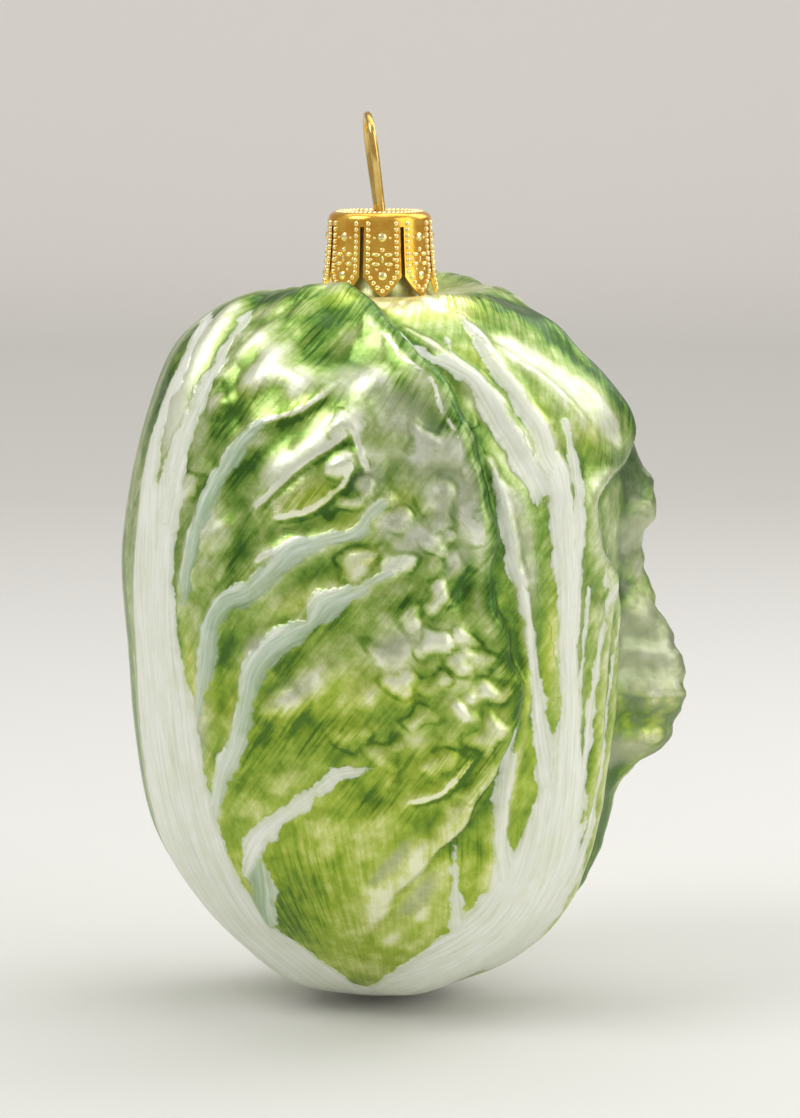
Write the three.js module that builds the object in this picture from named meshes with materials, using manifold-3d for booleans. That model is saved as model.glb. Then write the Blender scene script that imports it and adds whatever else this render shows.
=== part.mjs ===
// A napa cabbage tree ornament: a hollow blown-glass head with its leaves moulded in relief, a stamped
// crown cap over the open neck, and a sprung wire whose legs grip inside the neck and whose loop hangs it.
// Millimetres, +Z up, with the front towards -Y. The head is built on its neck's axis with its lowest
// point at height 0, and the finished group is then moved so that the hanging point is the origin.
import * as THREE from 'three';
import { mergeVertices } from 'three/addons/utils/BufferGeometryUtils.js';
import Module from 'manifold-3d';

const wasm = await Module();
wasm.setup();

// Glass head
const GLASS_WALL = 0.9;
const NECK_RADIUS = 5.5;
const NECK_TOP = 101.4;
const NECK_LENGTH = 15;
const NECK_ROWS = [0.1, 0.2, 0.28, 0.4, 0.6, 1];
const OUTER_COLUMNS = 88;
const OUTER_ROWS = 42;
const INNER_COLUMNS = 40;
const INNER_ROWS = 18;
const RELIEF_FADE_BOTTOM = [5, 16];
const RELIEF_FADE_TOP = [110, 117];

// From the near half's pattern round to the same pattern on the far half, in degrees.
const HALF_TURN = 190;

// Crown cap
const CAP_TOP = 102.1;
const CAP_SHEET = 0.4;
const CAP_SHOULDER = 1.1;
const CAP_RADIUS = 6.65;
const CAP_TIP_RADIUS = 7.4;
const CAP_TIP = 91.4;
const CAP_TURN = 3;
const PETAL_COUNT = 8;
const PETAL_POINT_FROM = 94.0;
const SLIT_TOP = 99.8;
const SLIT_WIDTH = 0.5;
const CAP_SEGMENTS = 32;
const BEAD_RADIUS = 0.4;
const BEAD_PITCH = 1.8;
const WIRE_HOLE_RADIUS = 0.85;

// Hanger wire
const WIRE_DIAMETER = 1.0;
const LOOP_TOP = 114.9;
const LOOP_HALF_WIDTH = 3.7;
const LEG_HALF_GAP = 2.75;
const LEG_END = [7.2, 79.5];
const LOOP_LEAN = 7.3;
const LOOP_TURN = 6;
const WIRE_SIDES = 8;
const WIRE_STEPS = 56;

const DEGREE = Math.PI / 180;
const CLEARANCE = 0.3;

// The plain head without its relief: height, then how far it reaches left, right, forward and back.
const HEAD_STATIONS = [
  [0.0, 0, 0, 0, 0],
  [0.5, 6.0, 5.8, 6.0, 6.0],
  [2.6, 11.6, 11.8, 12.2, 12.2],
  [7.0, 17.6, 18.0, 17.8, 17.8],
  [13.5, 23.8, 23.8, 22.6, 22.6],
  [22.5, 29.0, 27.6, 25.8, 25.8],
  [34.0, 31.4, 29.6, 27.4, 27.4],
  [46.0, 32.4, 30.2, 28.2, 28.2],
  [58.0, 33.0, 30.8, 28.6, 28.6],
  [69.0, 31.4, 31.2, 28.0, 28.0],
  [78.0, 28.8, 29.0, 25.8, 25.8],
  [85.0, 25.6, 22.6, 21.2, 21.2],
  [89.6, 19.6, 16.6, 15.8, 15.8],
  [91.5, 13.2, 11.8, 11.2, 11.2],
  [91.3, 9.6, 9.4, 9.2, 9.2],
  [90.9, 7.8, 7.8, 7.8, 7.8],
  [91.6, 6.3, 6.3, 6.3, 6.3],
  [93.6, 5.7, 5.7, 5.7, 5.7],
  [97.0, NECK_RADIUS, NECK_RADIUS, NECK_RADIUS, NECK_RADIUS],
  [NECK_TOP, NECK_RADIUS, NECK_RADIUS, NECK_RADIUS, NECK_RADIUS],
];

// Curves on the head are drawn as [azimuth, rise] points. Azimuth is in degrees round the neck's axis, 0 at
// the front and positive to the right. Rise is in millimetres up the surface from the lowest point.
const OUTER_LEAF_MARGIN = [
  [-24, 119], [-12, 115], [-4, 111], [7, 105], [16, 99], [19, 94], [23, 89], [24, 84], [27, 78],
  [26, 73], [29, 67], [34, 60], [33, 56], [28, 49], [21, 43], [13, 38], [4, 32], [-5, 25], [-16, 16], [-28, 8],
];
const SIDE_LEAF_MARGIN = [
  [84, 118], [82, 110], [78, 104], [80, 99], [86, 94], [87, 89], [80, 86], [64, 84.5], [58, 82.5],
  [58, 79], [65, 74], [73, 69], [76, 61], [74, 52], [72, 43], [75, 34], [78, 26], [78, 18], [78, 8],
];

// The climb from one leaf up on to the next, to each side of the margin.
const LEAF_STEP = 1.3;

// A leaf lies highest along its free margin and sinks under the next leaf's margin behind that.
// Near the bottom it fades out between the two rises given.
const OUTER_LEAF = { margin: OUTER_LEAF_MARGIN, rise: 2.0, lip: 1.0, reach: 150, fade: [20, 46] };
const SIDE_LEAF = { margin: SIDE_LEAF_MARGIN, rise: 1.5, lip: 0.4, reach: 95, fade: [8, 24] };

// Ribs stand up from the leaves: points of [azimuth, rise, half width], and the height of the crest.
const RIBS = [
  { crest: 0.9, path: [[-60, 12, 7], [-60, 30, 8], [-61, 50, 7.5], [-60, 70, 6.5], [-60, 88, 5.5], [-57, 100, 4], [-55, 110, 2.5]] },
  { crest: 0.9, path: [[20, 13, 6], [38, 25, 7.5], [49, 38, 7], [49, 52, 5], [47, 66, 4.5], [46, 78, 4], [43, 86, 3]] },
  { crest: 0.6, path: [[43, 83, 2.2], [35, 90, 2.0], [28, 97, 1.8], [20, 102, 1.6], [9, 106, 1.2]] },
  { crest: 0.6, path: [[45, 86, 2.2], [40, 92, 2.0], [36, 98, 1.8], [34, 108, 1.2]] },
  { crest: 0.6, path: [[30, 34, 2.0], [31, 46, 1.8], [36, 62, 1.5], [32, 76, 1.3], [25, 88, 1.1]] },
  { crest: 0.5, path: [[62, 40, 2.0], [64, 55, 1.8], [66, 70, 1.4], [60, 81, 1.0]] },
  { crest: 0.55, path: [[-48, 72, 1.6], [-43, 82, 1.5], [-35, 90, 1.3], [-24, 94, 1.0], [-15, 96, 0.8]] },
  { crest: 0.55, path: [[-46, 56, 1.6], [-41, 67, 1.5], [-30, 73, 1.4], [-16, 78, 1.3], [-4, 82, 1.1], [4, 87, 0.8]] },
  { crest: 0.55, path: [[-41, 44, 1.4], [-32, 57, 1.5], [-28, 65, 1.6], [-15, 70, 1.5], [-4, 74, 1.2], [6, 79, 0.9]] },
  { crest: 0.55, path: [[-37, 34, 1.4], [-32, 40, 1.5], [-20, 46, 1.3], [-8, 50, 1.1], [2, 52, 0.8]] },
];

// Blisters of the crinkled blade: azimuth, rise, half length, half width, tilt in degrees and height.
const BLISTERS = [
  [-19, 84, 6.6, 2.0, 38, 1.0], [-17, 89, 6.0, 1.6, 40, 0.8], [-8, 88, 2.3, 1.9, 30, 0.9], [-4, 84, 2.3, 1.7, 30, 0.9],
  [-29, 99, 3.4, 2.0, 60, 0.9], [-36, 103, 3.6, 1.8, 55, 0.8], [-40, 94, 2.6, 1.8, 50, 0.7], [-20, 98, 3.0, 2.4, 20, 1.0],
  [-9, 101, 3.4, 3.0, 0, -1.1], [1, 98, 3.4, 2.6, -25, 0.8], [10, 96, 3.0, 1.9, -40, 0.8], [-6, 93, 3.2, 2.0, 15, 0.8],
  [4, 92, 2.8, 2.0, 25, 0.8], [13, 90, 3.0, 2.0, 10, 0.9], [16, 84, 1.9, 3.4, 0, -0.9], [21, 79, 1.9, 3.2, 10, 0.9],
  [2, 78, 4.6, 1.9, 42, 0.9], [12, 78, 2.3, 3.2, 0, 0.8], [21, 73, 2.4, 3.2, -10, -0.8], [9, 72, 2.3, 1.9, 20, 0.9],
  [2, 70, 2.2, 1.8, 30, 0.9], [15, 67, 2.3, 2.0, 0, 0.9], [8, 66, 2.1, 1.7, 40, 0.9], [23, 66, 2.0, 2.2, 0, 0.7],
  [24, 59, 4.2, 1.9, 18, 1.1], [27, 53, 2.0, 3.0, -20, 1.0], [7, 59, 2.4, 2.1, 0, 1.0], [14, 54, 2.6, 1.9, 30, 0.9],
  [-2, 60, 3.2, 1.8, 35, 0.7], [-12, 62, 4.6, 1.8, 32, 0.7], [-20, 58, 4.6, 1.8, 30, 0.6], [18, 49, 3.0, 1.8, 40, 0.8],
  [3, 45, 4.0, 2.2, 45, 0.7], [-16, 38, 3.0, 5.5, -12, 0.6], [-2, 32, 3.4, 5.0, -25, 0.6], [-36, 60, 1.9, 4.4, 0, -0.6],
  [-38, 79, 2.2, 4.6, -20, 0.7], [-32, 84, 2.4, 3.4, -30, -0.6], [-24, 75, 5.2, 1.7, 34, 0.7], [-14, 74, 4.2, 1.5, 34, -0.5],
  [57, 99, 9.5, 3.2, -48, -0.9], [72, 104, 12, 3.0, -40, 0.9], [84, 91, 3.0, 3.4, 0, 0.7], [48, 98, 8.5, 1.2, -55, 0.5],
  [22, 99, 4.2, 1.6, -55, 0.7], [29, 84, 4.0, 1.2, -62, 0.5],
];

// The frilled edge of the far leaf stands out along the mould's seam on the right: [rise, reach] points.
const FRILL_AZIMUTH = 90;
const FRILL_HALF_THICKNESS = 2.9;
const FRILL = [
  [14, 0], [22, 1.4], [34, 1.8], [42, 1.6], [45.5, 3.0], [48.5, 6.6], [52, 8.4], [56.5, 9.3], [60.5, 8.6],
  [64, 6.9], [67, 5.0], [70, 3.9], [73.5, 2.7], [76, 2.8], [79.5, 4.1], [82, 3.8], [85, 2.2], [88, 1.2], [91, 0.4], [96, 0],
];

const clamp01 = (x) => Math.min(1, Math.max(0, x));
const smooth = (from, to, x) => THREE.MathUtils.smoothstep(x, from, to);
const turnWithin = (azimuth) => ((((azimuth + 180) % 360) + 360) % 360) - 180;

// A point of the smooth curve through rows of numbers, with t from 0 to the last row's index.
function alongRows(rows, t) {
  const last = rows.length - 1;
  const i = Math.min(last - 1, Math.max(0, Math.floor(t)));
  const f = Math.min(last, Math.max(0, t)) - i;
  const b = rows[i];
  const c = rows[i + 1];
  const a = i > 0 ? rows[i - 1] : b.map((value, k) => 2 * value - c[k]);
  const d = i + 2 <= last ? rows[i + 2] : c.map((value, k) => 2 * value - b[k]);
  return b.map((value, k) => 0.5 * (2 * value + (c[k] - a[k]) * f
    + (2 * a[k] - 5 * value + 4 * c[k] - d[k]) * f * f + (3 * value - a[k] - 3 * c[k] + d[k]) * f ** 3));
}

// The head's meridian, measured so that a rise in millimetres finds its height and reaches.
const MERIDIAN_STEPS = 40 * (HEAD_STATIONS.length - 1);
const meridian = [];
for (let i = 0, rise = 0, before = null; i <= MERIDIAN_STEPS; i++) {
  const row = alongRows(HEAD_STATIONS, (i * (HEAD_STATIONS.length - 1)) / MERIDIAN_STEPS);
  const radius = (row[1] + row[2] + row[3] + row[4]) / 4;
  if (before) rise += Math.hypot(radius - before.radius, row[0] - before.row[0]);
  before = { rise, radius, row };
  meridian.push(before);
}
const MERIDIAN_LENGTH = meridian.at(-1).rise;

function meridianAt(rise) {
  const wanted = Math.min(MERIDIAN_LENGTH, Math.max(0, rise));
  let low = 0;
  let high = meridian.length - 1;
  while (high - low > 1) {
    const middle = (low + high) >> 1;
    if (meridian[middle].rise <= wanted) low = middle;
    else high = middle;
  }
  const f = (wanted - meridian[low].rise) / (meridian[high].rise - meridian[low].rise || 1);
  return meridian[low].row.map((value, k) => value + f * (meridian[high].row[k] - value));
}

function meanRadiusAt(rise) {
  const [, left, right, front, back] = meridianAt(rise);
  return (left + right + front + back) / 4;
}

function plainPoint(azimuth, rise) {
  const [height, left, right, front, back] = meridianAt(rise);
  const across = Math.sin(azimuth * DEGREE);
  const ahead = Math.cos(azimuth * DEGREE);
  return new THREE.Vector3((across > 0 ? right : left) * across, -(ahead > 0 ? front : back) * ahead, height);
}

function plainNormal(azimuth, rise) {
  const round = plainPoint(azimuth + 0.5, rise).sub(plainPoint(azimuth - 0.5, rise));
  const up = plainPoint(azimuth, rise + 0.2).sub(plainPoint(azimuth, rise - 0.2));
  const normal = round.cross(up);
  return normal.length() < 1e-9 ? new THREE.Vector3(0, 0, -1) : normal.normalize();
}

// A drawn curve as many short steps, so that a distance to it can be measured.
const refined = (path, steps = 6) => Array.from({ length: (path.length - 1) * steps + 1 },
  (_, i) => alongRows(path, i / steps));

// The distance in millimetres over the surface from a place to a curve, and the curve's row there.
function nearestOn(curve, azimuth, rise, mmPerDegree) {
  let best = { distance: Infinity, row: curve[0] };
  for (let i = 0; i + 1 < curve.length; i++) {
    const x = turnWithin(azimuth - curve[i][0]) * mmPerDegree;
    const y = rise - curve[i][1];
    const dx = (curve[i + 1][0] - curve[i][0]) * mmPerDegree;
    const dy = curve[i + 1][1] - curve[i][1];
    const f = clamp01((x * dx + y * dy) / (dx * dx + dy * dy));
    const distance = Math.hypot(x - f * dx, y - f * dy);
    if (distance < best.distance) {
      best = { distance, row: curve[i].map((value, k) => value + f * (curve[i + 1][k] - value)) };
    }
  }
  return best;
}

function marginAzimuth(margin, rise) {
  for (let i = 0; i + 1 < margin.length; i++) {
    if (rise <= margin[i][1] && rise >= margin[i + 1][1]) {
      const f = (margin[i][1] - rise) / (margin[i][1] - margin[i + 1][1] || 1);
      return margin[i][0] + f * (margin[i + 1][0] - margin[i][0]);
    }
  }
  return rise > margin[0][1] ? margin[0][0] : margin.at(-1)[0];
}

// A leaf's height over the plain head: a step and a rolled lip at its free margin, and a long slope behind.
function leafHeight(leaf, azimuth, rise, mmPerDegree) {
  const behind = turnWithin(marginAzimuth(leaf.curve, rise) - azimuth);
  if (behind > leaf.reach) return 0;
  const { distance } = nearestOn(leaf.curve, azimuth, rise, mmPerDegree);
  const inside = behind > 0 ? distance : -distance;
  const slope = behind > 0 ? 1 - behind / leaf.reach : 1;
  const step = leaf.rise * slope * smooth(-LEAF_STEP, LEAF_STEP, inside);
  const lip = leaf.lip * Math.exp(-(((inside - 1.5) / 1.4) ** 2));
  return (step + lip) * smooth(...leaf.fade, rise);
}

function ribHeight(rib, azimuth, rise, mmPerDegree) {
  const { distance, row } = nearestOn(rib.curve, azimuth, rise, mmPerDegree);
  return distance < row[2] ? rib.crest * (1 - (distance / row[2]) ** 2) ** 2 : 0;
}

function blisterHeight([centre, up, halfLength, halfWidth, tilt, height], azimuth, rise, mmPerDegree) {
  const x = turnWithin(azimuth - centre) * mmPerDegree;
  const y = rise - up;
  const along = (x * Math.cos(tilt * DEGREE) + y * Math.sin(tilt * DEGREE)) / halfLength;
  const across = (y * Math.cos(tilt * DEGREE) - x * Math.sin(tilt * DEGREE)) / halfWidth;
  return height * Math.exp(-(along * along + across * across));
}

const leaves = [OUTER_LEAF, SIDE_LEAF].map((leaf) => ({ ...leaf, curve: refined(leaf.margin) }));
const ribs = RIBS.map((rib) => ({ ...rib, curve: refined(rib.path) }));
const FRILL_ROWS = refined(FRILL);

function frillHeight(azimuth, rise, mmPerDegree) {
  const after = FRILL_ROWS.findIndex((row) => row[0] > rise);
  if (after <= 0) return 0;
  const [low, high] = [FRILL_ROWS[after - 1], FRILL_ROWS[after]];
  const reach = low[1] + ((rise - low[0]) / (high[0] - low[0])) * (high[1] - low[1]);
  const off = (turnWithin(azimuth - FRILL_AZIMUTH) * mmPerDegree) / FRILL_HALF_THICKNESS;
  return Math.max(0, reach) * Math.exp(-off * off);
}

// How far the glass stands out from the plain head. The far half repeats the near half without its side leaf.
function relief(azimuth, rise) {
  const mmPerDegree = meanRadiusAt(rise) * DEGREE;
  const far = turnWithin(azimuth + HALF_TURN);
  let height = Math.max(0, leafHeight(leaves[0], far, rise, mmPerDegree));
  for (const leaf of leaves) height = Math.max(height, leafHeight(leaf, azimuth, rise, mmPerDegree));
  for (const turned of [azimuth, far]) {
    for (const rib of ribs) height += ribHeight(rib, turned, rise, mmPerDegree);
    for (const blister of BLISTERS) height += blisterHeight(blister, turned, rise, mmPerDegree);
  }
  const fade = smooth(...RELIEF_FADE_BOTTOM, rise) * (1 - smooth(...RELIEF_FADE_TOP, rise));
  return fade * height + frillHeight(azimuth, rise, mmPerDegree);
}

// A solid from a closed geometry, and a geometry from a solid.
function solidFrom(geometry) {
  const bare = geometry.clone();
  for (const name of ['normal', 'uv']) bare.deleteAttribute(name);
  const merged = mergeVertices(bare, 1e-4);
  return new wasm.Manifold(new wasm.Mesh({
    numProp: 3,
    vertProperties: new Float32Array(merged.attributes.position.array),
    triVerts: new Uint32Array(merged.index.array),
  }));
}

function geometryFrom(solid) {
  const mesh = solid.getMesh();
  const geometry = new THREE.BufferGeometry();
  geometry.setAttribute('position', new THREE.BufferAttribute(mesh.vertProperties, 3));
  geometry.setIndex(new THREE.BufferAttribute(mesh.triVerts, 1));
  geometry.computeVertexNormals();
  return geometry;
}

// A ball whose rows follow the rises given, from the bottom up, with place(azimuth, rise) for each point.
function shapedBall(columns, rises, bottom, top, place) {
  const rows = rises.length + 1;
  const ball = new THREE.SphereGeometry(1, columns, rows);
  const { position, uv } = ball.attributes;
  for (let i = 0; i < position.count; i++) {
    const row = Math.round(uv.getY(i) * rows);
    const column = Math.round(uv.getX(i) * columns) % columns;
    let point = new THREE.Vector3(0, 0, row === 0 ? bottom : top);
    if (row > 0 && row < rows) point = place(-180 + (360 * column) / columns, rises[row - 1]);
    position.setXYZ(i, point.x, point.y, point.z);
  }
  return ball;
}

// Rises for the rows: even over the head, then closer over the shoulder and up the neck.
function rowRises(headRows) {
  const shoulder = MERIDIAN_LENGTH - NECK_LENGTH;
  const head = Array.from({ length: headRows }, (_, i) => ((i + 1) * shoulder) / headRows);
  return [...head, ...NECK_ROWS.map((share) => shoulder + share * NECK_LENGTH)];
}

function makeGlassHead() {
  const outer = shapedBall(OUTER_COLUMNS, rowRises(OUTER_ROWS), 0, NECK_TOP, (azimuth, rise) => (
    plainPoint(azimuth, rise).addScaledVector(plainNormal(azimuth, rise), relief(azimuth, rise))));
  const columnStep = 180 / INNER_COLUMNS;
  const rowStep = (MERIDIAN_LENGTH - NECK_LENGTH) / INNER_ROWS / 2;
  const boreTop = NECK_TOP + GLASS_WALL;
  const inner = shapedBall(INNER_COLUMNS, rowRises(INNER_ROWS), GLASS_WALL, boreTop, (azimuth, rise) => {
    const around = [-columnStep, 0, columnStep].flatMap((turn) => [-rowStep, 0, rowStep]
      .map((step) => relief(turnWithin(azimuth + turn), rise + step)));
    const inset = Math.min(...around) - GLASS_WALL;
    const point = plainPoint(azimuth, rise).addScaledVector(plainNormal(azimuth, rise), inset);
    if (rise === MERIDIAN_LENGTH) point.z = boreTop;
    return point;
  });
  return geometryFrom(solidFrom(outer).subtract(solidFrom(inner)));
}

function capRadiusAt(height) {
  const share = clamp01((CAP_TOP - CAP_SHOULDER - height) / (CAP_TOP - CAP_SHOULDER - CAP_TIP));
  return CAP_RADIUS + (CAP_TIP_RADIUS - CAP_RADIUS) * share ** 1.6;
}

function capProfile(inset) {
  const points = [];
  for (const height of [CAP_TIP, PETAL_POINT_FROM, 97, SLIT_TOP]) points.push([capRadiusAt(height) - inset, height]);
  const bend = CAP_SHOULDER - inset;
  for (const angle of [0, 30, 60, 90]) {
    points.push([CAP_RADIUS - CAP_SHOULDER + bend * Math.cos(angle * DEGREE),
      CAP_TOP - CAP_SHOULDER + bend * Math.sin(angle * DEGREE)]);
  }
  points.push([0, CAP_TOP - inset]);
  return points.map(([x, y]) => new THREE.Vector2(x, y));
}

// A slit and the notch below it, cut between two petals and leaving each with a leaf-like point.
function petalGapShape() {
  const half = (Math.PI * CAP_TIP_RADIUS) / PETAL_COUNT;
  const shape = new THREE.Shape();
  shape.moveTo(-SLIT_WIDTH / 2, SLIT_TOP);
  shape.lineTo(-SLIT_WIDTH / 2, PETAL_POINT_FROM);
  shape.quadraticCurveTo(-half * 0.55, PETAL_POINT_FROM - 1.0, -half, CAP_TIP);
  shape.lineTo(-half, CAP_TIP - 1);
  shape.lineTo(half, CAP_TIP - 1);
  shape.lineTo(half, CAP_TIP);
  shape.quadraticCurveTo(half * 0.55, PETAL_POINT_FROM - 1.0, SLIT_WIDTH / 2, PETAL_POINT_FROM);
  shape.lineTo(SLIT_WIDTH / 2, SLIT_TOP);
  shape.closePath();
  return shape;
}

const petalTurn = (i) => (i * 2 * Math.PI) / PETAL_COUNT + CAP_TURN * DEGREE;

// Beads of one petal: [sideways from its middle, height, size], in rows along its edges and a rosette inside.
function petalBeads() {
  const beads = [[0, 98.3, 1.6], [0, 95.2, 1.6]];
  for (let height = 99.3; height > PETAL_POINT_FROM; height -= BEAD_PITCH) {
    for (const side of [-1, 1]) beads.push([side * 2.0, height, 1]);
  }
  return beads;
}

function makeCap() {
  const closed = [...capProfile(CAP_SHEET).reverse(), ...capProfile(0)];
  const shell = new THREE.LatheGeometry(closed, CAP_SEGMENTS);
  shell.rotateX(Math.PI / 2);
  let cap = solidFrom(shell);
  for (let i = 0; i < PETAL_COUNT; i++) {
    const gap = new THREE.ExtrudeGeometry(petalGapShape(), { depth: 6, bevelEnabled: false, curveSegments: 3 });
    gap.rotateX(Math.PI / 2).translate(0, -4, 0).rotateZ(petalTurn(i + 0.5));
    cap = cap.subtract(solidFrom(gap));
  }
  for (let i = 0; i < PETAL_COUNT; i++) {
    for (const [sideways, height, size] of petalBeads()) {
      const bead = new THREE.OctahedronGeometry(BEAD_RADIUS * size);
      const radius = capRadiusAt(height);
      bead.translate(0, -(radius - 0.06), height).rotateZ(sideways / radius + petalTurn(i));
      cap = cap.add(solidFrom(bead));
    }
  }
  for (const side of [-1, 1]) {
    const hole = new THREE.CylinderGeometry(WIRE_HOLE_RADIUS, WIRE_HOLE_RADIUS, 4, 16);
    const place = wirePoint(side * LEG_HALF_GAP, CAP_TOP);
    hole.rotateX(Math.PI / 2).translate(place.x, place.y, CAP_TOP);
    cap = cap.subtract(solidFrom(hole));
  }
  return geometryFrom(cap);
}

// The wire lies in one plane, which leans and is turned a little. Across is measured in it, height is true.
function wirePoint(across, height) {
  const lean = Math.tan(LOOP_LEAN * DEGREE) * (height - CAP_TOP);
  return new THREE.Vector3(across * Math.sin(LOOP_TURN * DEGREE) - lean, -across * Math.cos(LOOP_TURN * DEGREE), height);
}

function makeWire() {
  const [endAcross, endHeight] = LEG_END;
  const crown = LOOP_TOP - WIRE_DIAMETER / 2;
  const half = [
    [endAcross, endHeight], [5.4, 85], [3.7, 91], [3.05, 95], [2.8, 99], [LEG_HALF_GAP, CAP_TOP],
    [2.9, CAP_TOP + 2.2], [3.4, CAP_TOP + 4.9], [LOOP_HALF_WIDTH, CAP_TOP + 7.8], [2.75, CAP_TOP + 10.9],
  ];
  const route = [...half, [0, crown], ...half.map(([across, height]) => [-across, height]).reverse()];
  const line = new THREE.CatmullRomCurve3(route.map(([across, height]) => wirePoint(across, height)));
  const section = new THREE.Shape();
  for (let i = 0; i < WIRE_SIDES; i++) {
    const angle = ((i + 0.5) * 2 * Math.PI) / WIRE_SIDES;
    const x = (WIRE_DIAMETER / 2) * Math.cos(angle);
    const y = (WIRE_DIAMETER / 2) * Math.sin(angle);
    if (i) section.lineTo(x, y);
    else section.moveTo(x, y);
  }
  section.closePath();
  return new THREE.ExtrudeGeometry(section, { steps: WIRE_STEPS, extrudePath: line, curveSegments: 1 });
}

function named(name, geometry, colour, roughness, metalness) {
  const mesh = new THREE.Mesh(geometry, new THREE.MeshStandardMaterial({ color: colour, roughness, metalness }));
  mesh.name = name;
  return mesh;
}

const head = new THREE.Group();
head.add(named('glass_head', makeGlassHead(), 0xa9bf78, 0.3, 0.5));
head.add(named('crown_cap', makeCap(), 0xd29a2c, 0.28, 1.0));
head.add(named('hanger_wire', makeWire(), 0xcfa851, 0.2, 1.0));

// The origin is the inside of the loop's crown, where a hook or a thread carries the ornament.
const hangingPoint = wirePoint(0, LOOP_TOP - WIRE_DIAMETER);
head.position.copy(hangingPoint).negate();

const ornament = new THREE.Group();
ornament.add(head);

export default ornament;
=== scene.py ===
# A napa cabbage tree ornament: a silvered glass head under green lacquer with brushed-on ribs and veins,
# a stamped gold crown cap with beaded petals, and a sprung gold wire with the loop that hangs it.
# Sizes are millimetres in the part's own frame, with the neck's axis upright and the lowest point at 0.
import math

import bmesh
import bpy
import numpy as np
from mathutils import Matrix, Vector


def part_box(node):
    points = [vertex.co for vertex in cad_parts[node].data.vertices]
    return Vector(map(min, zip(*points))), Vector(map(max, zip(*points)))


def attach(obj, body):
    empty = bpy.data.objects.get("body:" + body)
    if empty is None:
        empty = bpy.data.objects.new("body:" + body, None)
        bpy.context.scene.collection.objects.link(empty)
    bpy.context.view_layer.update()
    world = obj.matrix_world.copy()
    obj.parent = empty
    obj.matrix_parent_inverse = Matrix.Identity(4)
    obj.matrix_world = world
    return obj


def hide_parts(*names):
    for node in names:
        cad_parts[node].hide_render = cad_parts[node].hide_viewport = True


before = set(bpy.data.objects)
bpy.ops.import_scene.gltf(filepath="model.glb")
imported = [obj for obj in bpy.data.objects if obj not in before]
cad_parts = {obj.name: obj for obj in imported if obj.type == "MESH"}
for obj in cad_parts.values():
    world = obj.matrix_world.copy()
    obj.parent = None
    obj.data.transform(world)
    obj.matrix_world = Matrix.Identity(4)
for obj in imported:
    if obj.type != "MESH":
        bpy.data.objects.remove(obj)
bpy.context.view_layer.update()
bpy.ops.object.select_all(action="DESELECT")

MM = 0.001
head_low, head_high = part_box("glass_head")
cap_low, cap_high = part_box("crown_cap")
_, wire_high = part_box("hanger_wire")
AXIS_X = (cap_low.x + cap_high.x) / 2
AXIS_Y = (cap_low.y + cap_high.y) / 2
FOOT_Z = head_low.z
NECK_TOP = (head_high.z - head_low.z) / MM
CAP_TOP = (cap_high.z - head_low.z) / MM
LOOP_TOP = (wire_high.z - head_low.z) / MM

# Glass head
HALF_TURN = 190
GLASS_WALL = 0.9
NECK_RADIUS = 5.5
NECK_LENGTH = 15
COLUMNS = 344
BODY_ROWS = 196
NECK_ROWS = 12
INNER_BODY_ROWS = 22
INNER_NECK_ROWS = 5
FRONT_DENSITY = 1.75
FRONT_REACH = 97
RELIEF_FADE_BOTTOM = (5, 16)
RELIEF_FADE_TOP = (112, 117)
STATION_STEPS = 40

# Crown cap
CAP_SHEET = 0.35
CAP_SHOULDER = 1.1
CAP_RADIUS = 6.65
CAP_TIP_RADIUS = 7.4
CAP_TIP = 91.4
CAP_TURN = 3
PETAL_COUNT = 8
PETAL_POINT_FROM = 94.0
SLIT_TOP = 100.3
SLIT_WIDTH = 0.5
FACES_PER_PETAL = 12
WIRE_HOLE_RADIUS = 0.85
PETAL_PITCH = 360 / PETAL_COUNT
SLIT_HALF_ANGLE = math.degrees(SLIT_WIDTH / 2 / CAP_RADIUS)
SKIRT_ROWS = 16
BAND_HEIGHTS = [SLIT_TOP, SLIT_TOP + 0.7, CAP_TOP - CAP_SHOULDER]
SHOULDER_ANGLES = [15, 30, 45, 60, 75, 90]
TOP_RADII = [5.0, 4.2, 3.0, 1.5]
TOP_FACE = CAP_TOP - 0.12
BORDER_INSET = 0.55
BORDER_PITCH = 0.78
BORDER_BEAD = 0.36
MIDDLE_BEADS = [
    (0, 99.0, 0.58, 1, 1), (0, 97.4, 0.34, 1, 1), (0, 94.1, 0.58, 1, 1), (0, 96.2, 0.26, 0.7, 1.9),
]
SIDE_BEADS = [
    (0.8, 96.8, 0.38, 1.5, 0.8), (0.85, 95.6, 0.38, 1.5, 0.8), (1.5, 96.2, 0.26, 1, 1),
    (1.0, 98.9, 0.2, 1, 1), (0.75, 94.9, 0.22, 1, 1),
]
TOP_RING_RADIUS = 5.4
TOP_RING_BEADS = 56
TOP_RING_BEAD = 0.32

# Hanger wire
WIRE_DIAMETER = 1.0
LOOP_HALF_WIDTH = 3.7
LEG_HALF_GAP = 2.75
LEG_END = (7.2, 79.5)
LOOP_LEAN = 7.3
LOOP_TURN = 6

# Camera and stage
VIEW_TARGET = (2.6, 0, 57)
VIEW_DISTANCE = 550
VIEW_ELEVATION = 7
VIEW_WIDTH = 103.9
SENSOR = 36
FLOOR_GAP = 0.8
WORLD_STRENGTH = 0.98
WORLD_TONES = [("Y", "#B2B2AB", "#D2D2CE"), ("Z", "#9C9C96", "#C8C8C4")]
PAPER_BEND_FROM = 1600
PAPER_BEND_RADIUS = 500
PAPER_HALF_WIDTH = 6000

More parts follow.
